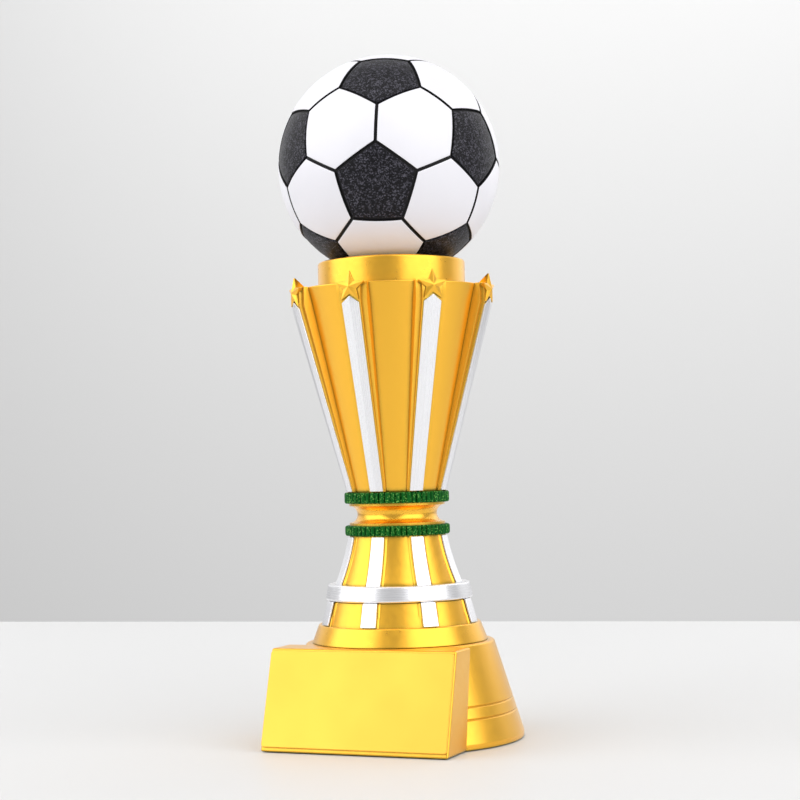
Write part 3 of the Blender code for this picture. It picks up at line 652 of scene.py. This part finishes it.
class TROPHY_OT_base_ring(bpy.types.Operator):
    """Turned tier between the base and the skirt"""
    bl_idname = "trophy.base_ring"
    bl_label = "Base ring"

    def execute(self, context):
        bottom, top, radius = levels("base_ring")
        foot = bottom - GLUE
        ring = bored([(shape().base_ring_top_radius, top, 0.8 * MM),
                      (radius, foot, 0.3 * MM)], foot, top)
        add_piece("gilt_base_ring", ring, ["turned gold"], "satin_gold", "base_ring")
        return {'FINISHED'}


# ---------------------------------------------------------------- lower flare

FLARE_STEPS = 480                              # round the flare, fine enough for its ribs
FLARE_ROWS, SKIRT_ROWS, STRIP_ROWS = 14, 6, 8
FLARE_RIB_HALVES = (3.0 * MM, 2.65 * MM)       # half widths at a strip's foot and head
SKIRT_RIB_HALVES = (3.25 * MM, 3.05 * MM)
RIB_SIDE = (-0.15 * MM, 0.35 * MM)             # where a low rib's side starts and ends
BORE_WALL = 10 * MM                            # what lies nearer the axis is the bore
LOW_STRIP_HEIGHT = 0.8 * MM
LOW_STRIP_CROWN = 0.08 * MM
LOW_STRIP_EDGE = 0.22 * MM
STRIP_SUNK = 0.1 * MM                          # a strip's back, under its rib's face


def flare_radius(share):
    """The flare's panel radius at a share of its height, slightly hollow."""
    size = shape()
    return (between(size.flare_bottom_radius, size.flare_top_radius, share)
            - 4 * size.flare_hollow * share * (1 - share))


def skirt_radius(share):
    """The skirt's panel radius at a share of its height."""
    return between(shape().skirt_bottom_radius, shape().skirt_top_radius, share)


def low_ribs(kind):
    """A set of low ribs: its panel radius, bottom, top, and half widths there."""
    flare_bottom, flare_top, _ = levels("lower_flare")
    band_bottom, band_top, _ = levels("silver_band")
    if kind == "flare":
        return flare_radius, band_top, flare_top, *FLARE_RIB_HALVES
    return skirt_radius, flare_bottom, band_bottom, *SKIRT_RIB_HALVES


class TROPHY_OT_flare(bpy.types.Operator):
    """Skirt and flare in one casting, with low ribs for the silver strips"""
    bl_idname = "trophy.flare"
    bl_label = "Lower flare"

    def execute(self, context):
        size = shape()
        _, skirt_bottom, shoulder, _, _ = low_ribs("skirt")
        _, flare_bottom, flare_top, _, _ = low_ribs("flare")
        crown = flare_top + GLUE
        foot, ledge = skirt_bottom - GLUE, shoulder - GLUE
        outline = [(flare_radius(k / FLARE_ROWS), between(flare_bottom, crown, k / FLARE_ROWS))
                   for k in range(FLARE_ROWS, -1, -1)]
        outline += [(size.flare_bottom_radius, ledge)]
        outline += [(skirt_radius(k / SKIRT_ROWS), between(foot, ledge, k / SKIRT_ROWS))
                    for k in range(SKIRT_ROWS, -1, -1)]
        bm = turned([*outline, (BORE, foot), (BORE, crown)], steps=FLARE_STEPS)
        pitch = 2 * pi / RIB_COUNT
        for vert in bm.verts:
            radius = hypot(vert.co.x, vert.co.y)
            if radius < BORE_WALL or (shoulder < vert.co.z < flare_bottom - GLUE):
                continue
            kind = "flare" if vert.co.z >= flare_bottom - GLUE else "skirt"
            _, low, high, half_low, half_high = low_ribs(kind)
            half = between(half_low, half_high, (vert.co.z - low) / (high - low))
            off = (atan2(vert.co.y, vert.co.x) + pi / 2 + pitch / 2) % pitch - pitch / 2
            across = abs(radius * sin(off)) - half - size.low_rib_lip
            rise = size.low_rib_rise * (1 - smooth_step(*RIB_SIDE, across))
            vert.co.xy *= (radius + rise) / radius
        add_piece("gilt_flare", bm, ["satin gold"], "satin_gold", "lower_flare", sharp=50.0)
        return {'FINISHED'}


class TROPHY_OT_low_strips(bpy.types.Operator):
    """Silver strips on the low ribs of the skirt and the flare"""
    bl_idname = "trophy.low_strips"
    bl_label = "Low silver strips"

    def execute(self, context):
        size = shape()
        for kind in ("skirt", "flare"):
            panel, low, high, half_low, half_high = low_ribs(kind)
            sections = []
            for k in range(STRIP_ROWS + 1):
                share = k / STRIP_ROWS
                half = between(half_low, half_high, share)
                radius = panel(share)
                height = between(low, high, share)
                back = radius + size.low_rib_rise - STRIP_SUNK
                crest = radius + (size.low_rib_rise + LOW_STRIP_HEIGHT)
                sections.append([(back, -half, height), (crest - LOW_STRIP_CROWN, -half, height),
                                 (crest, 0.0, height), (crest - LOW_STRIP_CROWN, half, height),
                                 (back, half, height)])
            bm = bridged(sections)
            soften(bm, LOW_STRIP_EDGE, angle=40.0, segments=3)
            add_at_ribs(f"bright_{kind}_strip", bm, "silver strip", "silver", f"{kind}_strip")
        return {'FINISHED'}


class TROPHY_OT_band(bpy.types.Operator):
    """Silver band round the lower flare"""
    bl_idname = "trophy.band"
    bl_label = "Silver band"

    def execute(self, context):
        size = shape()
        bottom, top, radius = levels("silver_band")
        inner = size.flare_bottom_radius + GLUE
        outline = rounded([(size.band_top_radius, top, size.band_edge),
                           (radius, bottom, size.band_edge), (inner, bottom, 0.0),
                           (inner, top, 0.0)], steps=8)
        add_piece("brushed_band", turned(outline), ["silver band"], "silver", "silver_band")
        return {'FINISHED'}


# ---------------------------------------------------------------- waist

ROPE_EDGE = 0.9 * MM
ROPE_SKIN = 1.2 * MM         # how deep the ridges reach into a ring
ROPE_STEPS = 12              # round each ridge
ROPE_ROUNDNESS = 0.8
ROPE_WANDER = 0.025          # how far a ridge leans to one side
ROPE_SWELL = 0.05
ROPE_SEED, ROPE_DRIFTS = 50, 9.0    # what sets the rings apart, and how often they vary
SPOOL_ROWS = 32
SPOOL_LIP = 0.7 * MM


class TROPHY_OT_rope_rings(bpy.types.Operator):
    """Green rings with upright ridges above and below the spool"""
    bl_idname = "trophy.rope_rings"
    bl_label = "Green rope rings"

    def execute(self, context):
        size = shape()
        for name in ("lower_rope_ring", "upper_rope_ring"):
            bottom, top, radius = levels(name)
            outline = rounded([(radius, top, ROPE_EDGE), (radius, bottom, ROPE_EDGE),
                               (BORE, bottom, 0.0), (BORE, top, 0.0)], steps=6)
            bm = turned(outline, steps=size.rope_ridges * ROPE_STEPS)
            for vert in bm.verts:
                reach = hypot(vert.co.x, vert.co.y)
                if reach < radius - ROPE_SKIN:
                    continue
                turn = atan2(vert.co.y, vert.co.x)
                drift = noise.noise(Vector((cos(turn), sin(turn), bottom * ROPE_SEED))
                                    * ROPE_DRIFTS)
                ridge = abs(cos((turn + ROPE_WANDER * drift) * size.rope_ridges / 2))
                depth = size.rope_depth * (1 - ridge ** ROPE_ROUNDNESS) * (1 + 0.5 * drift)
                vert.co.xy *= (reach - depth) / reach
                middle = (bottom + top) / 2
                swell = 1 - ROPE_SWELL * (1 - ridge) + ROPE_SWELL * drift
                vert.co.z = min(max(middle + (vert.co.z - middle) * swell, bottom), top)
            add_piece(f"enamelled_{name}", bm, ["green"], "green_enamel", name, sharp=70.0)
        return {'FINISHED'}


class TROPHY_OT_spool(bpy.types.Operator):
    """Hollow-cheeked spool at the waist"""
    bl_idname = "trophy.spool"
    bl_label = "Waist spool"

    def execute(self, context):
        bottom, top, end = levels("waist_spool")
        middle = (bottom + top) / 2
        reach = (top - bottom) / 2 - SPOOL_LIP
        deep = end - shape().spool_waist_radius
        outline = [(end, top + GLUE)]
        for k in range(SPOOL_ROWS + 1):
            turn = radians(between(90, -90, k / SPOOL_ROWS))
            outline.append((end - deep * cos(turn), middle + reach * sin(turn)))
        outline += [(end, bottom - GLUE), (BORE, bottom - GLUE), (BORE, top + GLUE)]
        add_piece("bright_spool", turned(outline), ["bright gold"], "polished_gold",
                  "waist_spool")
        return {'FINISHED'}


# ---------------------------------------------------------------- column

# Pairs of sizes of the star ribs and their strips are at the column's foot and head.
CREST_RISE = (1.1 * MM, 4.3 * MM)
CREST_HALVES = (3.2 * MM, 4.3 * MM)
STEP_RISE = (0.6 * MM, 3.1 * MM)
STEP_HALVES = (3.6 * MM, 6.6 * MM)
RIB_ROOT = 0.6 * MM              # how deep a rib starts in the column
STAR_NOTCH = 0.45                # notch radius over point radius
STAR_FOLD, STAR_PEAK = 0.7 * MM, 2.0 * MM      # rim and middle of a star over its rib
# The back end of a star's body: size over the star's, distance in and distance down.
STAR_ROOT, STAR_ROOT_IN, STAR_ROOT_DOWN = 0.55, 4.8 * MM, 1.5 * MM
STRIP_HALVES = (2.8 * MM, 3.7 * MM)
STRIP_RIDGE = 0.5 * MM
STRIP_EAVES = 0.6 * MM
STRIP_POINT = 2.6 * MM           # length of the pointed end
STRIP_TIP_HALF, STRIP_TIP_RIDGE = 0.3 * MM, 0.1 * MM


def column_radius(level):
    """The column's panel radius at a level."""
    bottom, top, rim = levels("column_core")
    return between(shape().column_bottom_radius, rim, (level - bottom) / (top - bottom))


def star_level():
    """The level of the stars' middles."""
    return levels("column_core")[1] - shape().star_drop


def star_foot():
    """The level of the stars' two lower points."""
    return star_level() - shape().star_radius * cos(pi / 5)


def leaning_crest(level):
    """The radius of a rib's crest at a level, on the line it follows below the star."""
    bottom = levels("column_core")[0]
    share = (level - bottom) / (star_foot() - bottom)
    return column_radius(level) + between(*CREST_RISE, share)


def crest_radius(level):
    """The radius of a rib's crest at a level, upright above the star's feet."""
    return leaning_crest(min(level, star_foot()))


class TROPHY_OT_column(bpy.types.Operator):
    """Gold cone that widens up to the rim"""
    bl_idname = "trophy.column"
    bl_label = "Column"

    def execute(self, context):
        bottom, top, rim = levels("column_core")
        foot = bottom - GLUE
        cone = bored([(rim, top, 0.5 * MM), (column_radius(foot), foot, 0.0)], foot, top)
        add_piece("gilt_column", cone, ["satin gold"], "satin_gold", "column_core")
        return {'FINISHED'}


def rib_section(level, share):
    """The two-step rib's section at a level, from its root in the column."""
    lean = min(level, star_foot())
    root = column_radius(level) - RIB_ROOT
    step = column_radius(lean) + between(*STEP_RISE, share)
    step_half = between(*STEP_HALVES, share)
    crest_half = between(*CREST_HALVES, share)
    half = [(root, step_half), (step, step_half), (step, crest_half),
            (crest_radius(level), crest_half)]
    return ([(r, -t, level) for r, t in half]
            + [(r, t, level) for r, t in reversed(half)])


def star_outline(radius, reach, level):
    """A five-point star standing in the plane at a distance from the axis, one point up."""
    points = []
    for k in range(10):
        arm = radius * (STAR_NOTCH if k % 2 else 1.0)
        points.append((reach, arm * sin(k * pi / 5), level + arm * cos(k * pi / 5)))
    return points


def faceted_star():
    """A star with ridges to its points, and the body that ties it back to the rim."""
    radius = shape().star_radius
    level = star_level()
    back = crest_radius(level)
    bm = bridged([star_outline(radius * STAR_ROOT, back - STAR_ROOT_IN, level - STAR_ROOT_DOWN),
                  star_outline(radius, back, level),
                  star_outline(radius, back + STAR_FOLD, level)])
    face = max(bm.faces, key=lambda f: f.calc_center_median().x)
    middle = bmesh.ops.poke(bm, faces=[face])["verts"][0]
    middle.co.x = back + STAR_PEAK
    bmesh.ops.recalc_face_normals(bm, faces=bm.faces[:])
    return bm


class TROPHY_OT_star_ribs(bpy.types.Operator):
    """Two-step ribs up the column, each with a faceted star at its head"""
    bl_idname = "trophy.star_ribs"
    bl_label = "Star ribs"

    def execute(self, context):
        bottom, top, _ = levels("column_core")
        rib = bridged([rib_section(bottom - GLUE, 0.0), rib_section(star_foot(), 1.0),
                       rib_section(top, 1.0)])
        soften(rib, 0.3 * MM, segments=2)
        star = faceted_star()
        soften(star, 0.12 * MM, angle=20.0, segments=2)
        add_at_ribs("gilt_star_rib", combined(rib, star, 'UNION'), "satin gold", "satin_gold",
                    "star_rib", sharp=28.0)
        return {'FINISHED'}


class TROPHY_OT_rib_strips(bpy.types.Operator):
    """Roof-shaped silver strips on the star ribs, pointed under the stars"""
    bl_idname = "trophy.rib_strips"
    bl_label = "Rib strips"

    def execute(self, context):
        bottom = levels("column_core")[0]
        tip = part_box("rib_strip_1")[1][2]

        def section(level, half, ridge):
            seat = leaning_crest(level)
            back, eaves = seat - STRIP_SUNK, seat + STRIP_EAVES
            return [(back, -half, level), (eaves, -half, level), (eaves + ridge, 0.0, level),
                    (eaves, half, level), (back, half, level)]

        foot_half, head_half = STRIP_HALVES
        bm = bridged([section(bottom, foot_half, STRIP_RIDGE),
                      section(tip - STRIP_POINT, head_half, STRIP_RIDGE),
                      section(tip, STRIP_TIP_HALF, STRIP_TIP_RIDGE)])
        soften(bm, 0.15 * MM, angle=12.0, segments=2)
        add_at_ribs("bright_rib_strip", bm, "silver strip", "silver", "rib_strip", sharp=40.0)
        return {'FINISHED'}


# ---------------------------------------------------------------- collar and ball

SEAT_ROWS = 12
BOX_SLACK = 0.02 * MM                  # keeps the ball inside its node's box
CORNER_SHARE = 35.7                    # of an icosahedron's edge, cut off at each corner
BALL_TURNS = (15.6, 108.3, 87.7)       # degrees round Z, X and Z, that set the pattern
GROOVE_DEPTH = 1.1 * MM
GROOVE_SLACK = 0.05 * MM               # groove's side and inlay's edge off the nominal line
ENAMEL, PAINT = 0, 1                   # the ball's finishes
# A hexagon's edge, from its groove up: inset, depth under the panel, and finish.
HEXAGON_EDGE = ((0.10 * MM, 0.35 * MM, PAINT), (0.16 * MM, 0.16 * MM, PAINT),
                (0.30 * MM, 0.06 * MM, ENAMEL), (0.80 * MM, 0.01 * MM, ENAMEL))
BALL_CUTS, INLAY_CUTS = 7, 15          # in each side of a panel
BORE_SEGMENTS = 64
# An inlay's depths under the white panels: its back, the foot and the brow of its edge, its
# shoulder and its face.
INLAY_BACK, INLAY_FOOT, INLAY_BROW = 1.05 * MM, 0.80 * MM, 0.58 * MM
INLAY_SHOULDER, INLAY_FACE = 0.52 * MM, 0.50 * MM
INLAY_INSETS = (0.18 * MM, 0.30 * MM)  # brow and shoulder, from the edge before
INLAY_LUMP, INLAY_LUMP_HEIGHT = 1.1, 0.11 * MM   # the glitter's lumps: millimetres, height
INLAY_ROUGH_DEPTH = 0.7 * MM           # what lies deeper stays smooth


def ball_middle():
    """The level of the ball's middle, from its seat on the collar."""
    size = shape()
    return levels("collar_ring")[1] + sqrt(size.ball_radius ** 2 - size.seat_radius ** 2)


class TROPHY_OT_collar(bpy.types.Operator):
    """Turned ring that the ball sits in"""
    bl_idname = "trophy.collar"
    bl_label = "Collar ring"

    def execute(self, context):
        bottom, top, radius = levels("collar_ring")
        foot = bottom - GLUE
        near = shape().ball_radius + GLUE
        lip = sqrt(near ** 2 - (ball_middle() - top) ** 2)
        corners = [(radius, top, 1.0 * MM), (radius, foot, 0.0), (BORE, foot, 0.0)]
        for k in range(SEAT_ROWS + 1):
            reach = between(BORE, lip, k / SEAT_ROWS)
            corners.append((reach, ball_middle() - sqrt(near ** 2 - reach ** 2), 0.0))
        add_piece("gilt_collar", turned(rounded(corners)), ["turned gold"], "satin_gold",
                  "collar_ring")
        return {'FINISHED'}


def ball_panels(cuts):
    """A bmesh of the ball round the origin, and its pentagons and hexagons: an icosahedron with
    its corners cut off and its edges divided, brought out to the ball and turned to place."""
    radius = shape().ball_radius
    bm = bmesh.new()
    bmesh.ops.create_icosphere(bm, subdivisions=1, radius=radius)
    bmesh.ops.bevel(bm, geom=bm.verts[:], offset=CORNER_SHARE, offset_type='PERCENT',
                    affect='VERTICES', segments=1, profile=0.5, material=-1)
    bmesh.ops.subdivide_edges(bm, edges=bm.edges[:], cuts=cuts)
    to_sphere(bm.verts, radius)
    first, second, third = (Matrix.Rotation(radians(turn), 4, axis)
                            for turn, axis in zip(BALL_TURNS, "ZXZ"))
    bm.transform(first @ second @ third)
    bm.normal_update()
    sides = 5 * (cuts + 1)
    faces = bm.faces[:]
    return (bm, [face for face in faces if len(face.verts) == sides],
            [face for face in faces if len(face.verts) > sides])


def step_in(bm, faces, width, radius, finish=ENAMEL):
    """Inset faces by a width, bring their borders to a radius and give the rim a finish."""
    rim = bmesh.ops.inset_individual(bm, faces=faces, thickness=width,
                                     use_even_offset=True)["faces"]
    to_sphere({vert for face in faces for vert in face.verts}, radius)
    for face in rim:
        face.material_index = finish
    bm.normal_update()


def fill_dome(bm, faces, radius, rings):
    """Fill each face with a fan of rings on a sphere round the origin."""
    for face in faces:
        finish = face.material_index
        middle = bmesh.ops.poke(bm, faces=[face])["verts"][0]
        to_sphere([middle], radius)
        for near in middle.link_faces:
            near.material_index = finish
        made = bmesh.ops.subdivide_edges(bm, edges=middle.link_edges[:], cuts=rings)
        to_sphere(only_verts(made["geom_inner"]), radius)


class TROPHY_OT_ball(bpy.types.Operator):
    """White ball with raised hexagons and black grooves"""
    bl_idname = "trophy.ball"
    bl_label = "Ball"

    def execute(self, context):
        size = shape()
        radius = levels("ball_casting")[1] - ball_middle() - BOX_SLACK
        floor = radius - GROOVE_DEPTH
        bm, pentagons, hexagons = ball_panels(BALL_CUTS)
        to_sphere(bm.verts, floor)
        bm.normal_update()
        step_in(bm, hexagons, size.groove_width / 2 - GROOVE_SLACK, floor, PAINT)
        for inset, depth, finish in HEXAGON_EDGE:
            step_in(bm, hexagons, inset, radius - depth, finish)
        for face in pentagons:
            face.material_index = PAINT
        fill_dome(bm, hexagons, radius, rings=6)
        fill_dome(bm, pentagons, floor, rings=3)
        bm.transform(Matrix.Translation((0.0, 0.0, ball_middle())))
        _, bush_top, bush_radius = levels("ball_insert")
        foot, end, reach = levels("ball_casting")[0] - MM, bush_top + GLUE, bush_radius + GLUE
        bore = bmesh.new()
        bmesh.ops.create_cone(bore, cap_ends=True, segments=BORE_SEGMENTS, radius1=reach,
                              radius2=reach, depth=end - foot,
                              matrix=Matrix.Translation((0, 0, (end + foot) / 2)))
        bm = combined(bm, bore, 'DIFFERENCE', slots=2)
        add_piece("enamelled_ball", bm, ["white", "groove"], "white_enamel", "ball_casting",
                  sharp=60.0)
        return {'FINISHED'}


class TROPHY_OT_inlays(bpy.types.Operator):
    """Black glitter pentagons, one in each pocket of the ball"""
    bl_idname = "trophy.inlays"
    bl_label = "Pentagon inlays"

    def execute(self, context):
        size = shape()
        radius = size.ball_radius
        bm, pentagons, _ = ball_panels(INLAY_CUTS)
        step_in(bm, pentagons, size.groove_width / 2 + GROOVE_SLACK, radius)
        outlines = [[vert.co.normalized() for vert in face.verts] for face in pentagons]
        bm.free()
        brow_inset, shoulder_inset = INLAY_INSETS
        place = Matrix.Translation((0.0, 0.0, ball_middle()))
        for number in range(1, 13):
            node = f"pentagon_inlay_{number:02d}"
            low, high = (Vector(corner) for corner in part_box(node))
            toward = ((low + high) / 2 - place.translation).normalized()
            outline = max(outlines, key=lambda points: toward.dot(sum(points, Vector())))
            inlay = bridged([[point * (radius - depth) for point in outline]
                             for depth in (INLAY_BACK, INLAY_FOOT)])
            bed, lid = sorted((face for face in inlay.faces if len(face.verts) == len(outline)),
                              key=lambda face: face.calc_center_median().length)
            step_in(inlay, [lid], brow_inset, radius - INLAY_BROW)
            step_in(inlay, [lid], shoulder_inset, radius - INLAY_SHOULDER)
            fill_dome(inlay, [lid], radius - INLAY_FACE, rings=17)
            fill_dome(inlay, [bed], radius - INLAY_BACK, rings=3)
            for vert in inlay.verts:
                if vert.co.length > radius - INLAY_ROUGH_DEPTH:
                    rough = noise.noise(vert.co * per_size(INLAY_LUMP))
                    vert.co *= 1 + INLAY_LUMP_HEIGHT * rough / radius
            inlay.transform(place)
            add_piece("glitter_" + node, inlay, ["black glitter"], "black_glitter", node,
                      sharp=60.0)
        return {'FINISHED'}


class TROPHY_OT_hidden(bpy.types.Operator):
    """Finishes of the rod, its fasteners and bush, and the felt"""
    bl_idname = "trophy.hidden"
    bl_label = "Rod, fasteners and felt"

    def execute(self, context):
        finishes = {"tie_rod": "steel", "nut": "steel", "washer": "steel",
                    "ball_insert": "brass", "felt_pad": "felt"}
        for node, finish in finishes.items():
            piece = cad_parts[node]
            if not piece.data.materials:
                piece.data.materials.append(material(finish))
            for slot in piece.material_slots:
                slot.material = material(finish)
        return {'FINISHED'}


# ---------------------------------------------------------------- studio

CAMERA_AZIMUTH = 22.8
CAMERA_DISTANCE = 0.745
CAMERA_HEIGHT = 0.1103
CAMERA_LENS = 81.5
CAMERA_YAW = 0.175
CAMERA_PITCH = 2.12
CAMERA_ROLL = 1.4
WALL_TURN = -15.8
FLOOR_END = 0.534
WALL_DISTANCE = 1.6
WALL_FOOT, WALL_TOP = -0.8, 2.6
STUDIO_HALF = 3.0
WORLD_STRENGTH = 0.48
# Softboxes: name, turn from the camera, distance, height, width and height, and power.
SOFTBOXES = (("left_softbox", -74, 1.10, 0.74, (1.6, 1.3), 10.3),
             ("right_softbox", 48, 1.10, 0.74, (1.5, 1.3), 10.0),
             ("right_back_softbox", 128, 0.90, 0.56, (0.8, 0.9), 1.0),
             ("left_back_softbox", -140, 0.90, 0.56, (0.6, 0.9), 0.8),
             ("top_softbox", -10, 0.35, 1.3, (1.2, 1.0), 3.3))


def polar(azimuth, distance, height):
    """A point at an azimuth from the front, seen from the trophy's axis."""
    turn = radians(azimuth)
    return Vector((distance * sin(turn), -distance * cos(turn), height))


def softbox(name, azimuth, distance, height, size, power, target=(0.0, 0.0, 0.14)):
    """A rectangular lamp turned to a target."""
    lamp = bpy.data.lights.new(name, 'AREA')
    lamp.shape = 'RECTANGLE'
    lamp.size, lamp.size_y = size
    lamp.energy = power
    thing = bpy.data.objects.new(name, lamp)
    thing.location = polar(azimuth, distance, height)
    thing.visible_camera = False
    thing.rotation_euler = (Vector(target) - thing.location).to_track_quat('-Z', 'Y').to_euler()
    bpy.context.scene.collection.objects.link(thing)


class TROPHY_OT_studio(bpy.types.Operator):
    """Pale floor and wall, soft lamps and the camera"""
    bl_idname = "trophy.studio"
    bl_label = "Studio"

    def execute(self, context):
        scene = context.scene
        bm = bmesh.new()
        for ends in (((-STUDIO_HALF, 0.0), (FLOOR_END, 0.0)),
                     ((WALL_DISTANCE, WALL_FOOT), (WALL_DISTANCE, WALL_TOP))):
            bm.edges.new([bm.verts.new((-STUDIO_HALF, y, z)) for y, z in ends])
        grown = bmesh.ops.extrude_edge_only(bm, edges=bm.edges[:])["geom"]
        bmesh.ops.translate(bm, verts=only_verts(grown), vec=(2 * STUDIO_HALF, 0.0, 0.0))
        bmesh.ops.recalc_face_normals(bm, faces=bm.faces[:])
        for face in bm.faces:
            face.material_index = 1 if abs(face.normal.z) < 0.5 else 0
        bm.transform(Matrix.Rotation(radians(CAMERA_AZIMUTH + WALL_TURN), 4, 'Z'))
        mesh = bpy.data.meshes.new("studio_floor")
        bm.to_mesh(mesh)
        bm.free()
        mesh.materials.append(matt_paint("matt_floor_paint", colours().floor))
        mesh.materials.append(matt_paint("matt_wall_paint", colours().wall))
        floor = bpy.data.objects.new("studio_floor", mesh)
        scene.collection.objects.link(floor)

        world = bpy.data.worlds.new("studio_room")
        world.use_nodes = True
        light = world.node_tree.nodes["Background"].inputs
        light["Color"].default_value = (1, 1, 1, 1)
        light["Strength"].default_value = WORLD_STRENGTH
        scene.world = world

        for name, turn, *rest in SOFTBOXES:
            softbox(name, CAMERA_AZIMUTH + turn, *rest)
        behind = CAMERA_AZIMUTH + WALL_TURN + 180
        softbox("wall_softbox", behind, 0.9, 1.2, (2.4, 0.5), 8.6,
                target=polar(behind, WALL_DISTANCE, 0.2))

        lens = bpy.data.cameras.new("studio_camera")
        lens.lens = CAMERA_LENS
        lens.sensor_width = 36.0
        lens.clip_start = 0.01
        camera = bpy.data.objects.new("studio_camera", lens)
        camera.location = polar(CAMERA_AZIMUTH, CAMERA_DISTANCE, CAMERA_HEIGHT)
        turn = (Matrix.Rotation(radians(CAMERA_AZIMUTH - CAMERA_YAW), 4, 'Z')
                @ Matrix.Rotation(radians(90 + CAMERA_PITCH), 4, 'X')
                @ Matrix.Rotation(radians(-CAMERA_ROLL), 4, 'Z'))
        camera.rotation_euler = turn.to_euler()
        scene.collection.objects.link(camera)
        scene.camera = camera
        scene.view_settings.view_transform = 'Standard'
        return {'FINISHED'}


# ---------------------------------------------------------------- add-on

OPERATORS = (TROPHY_OT_studio, TROPHY_OT_base, TROPHY_OT_plate, TROPHY_OT_base_ring,
             TROPHY_OT_flare, TROPHY_OT_low_strips, TROPHY_OT_band, TROPHY_OT_rope_rings,
             TROPHY_OT_spool, TROPHY_OT_column, TROPHY_OT_star_ribs, TROPHY_OT_rib_strips,
             TROPHY_OT_collar, TROPHY_OT_ball, TROPHY_OT_inlays, TROPHY_OT_hidden)


class TROPHY_PT_pieces(bpy.types.Panel):
    """The trophy's pieces, sizes and colours"""
    bl_idname = "TROPHY_PT_pieces"
    bl_label = "Football figure trophy"
    bl_space_type = 'VIEW_3D'
    bl_region_type = 'UI'
    bl_category = "Trophy"

    def draw(self, context):
        for operator in OPERATORS:
            self.layout.operator(operator.bl_idname)
        for group in (context.scene.trophy_shape, context.scene.trophy_colours):
            box = self.layout.box()
            for name in group.__annotations__:
                box.prop(group, name)


CLASSES = (TrophyShape, TrophyColours, *OPERATORS, TROPHY_PT_pieces)


def register():
    for cls in CLASSES:
        bpy.utils.register_class(cls)
    bpy.types.Scene.trophy_shape = bpy.props.PointerProperty(type=TrophyShape)
    bpy.types.Scene.trophy_colours = bpy.props.PointerProperty(type=TrophyColours)


def unregister():
    del bpy.types.Scene.trophy_colours
    del bpy.types.Scene.trophy_shape
    for cls in reversed(CLASSES):
        bpy.utils.unregister_class(cls)


def main():
    """Register the add-on, then make every piece in order."""
    register()
    for operator in OPERATORS:
        group, name = operator.bl_idname.split(".")
        getattr(getattr(bpy.ops, group), name)()


if __name__ == "__main__":
    main()
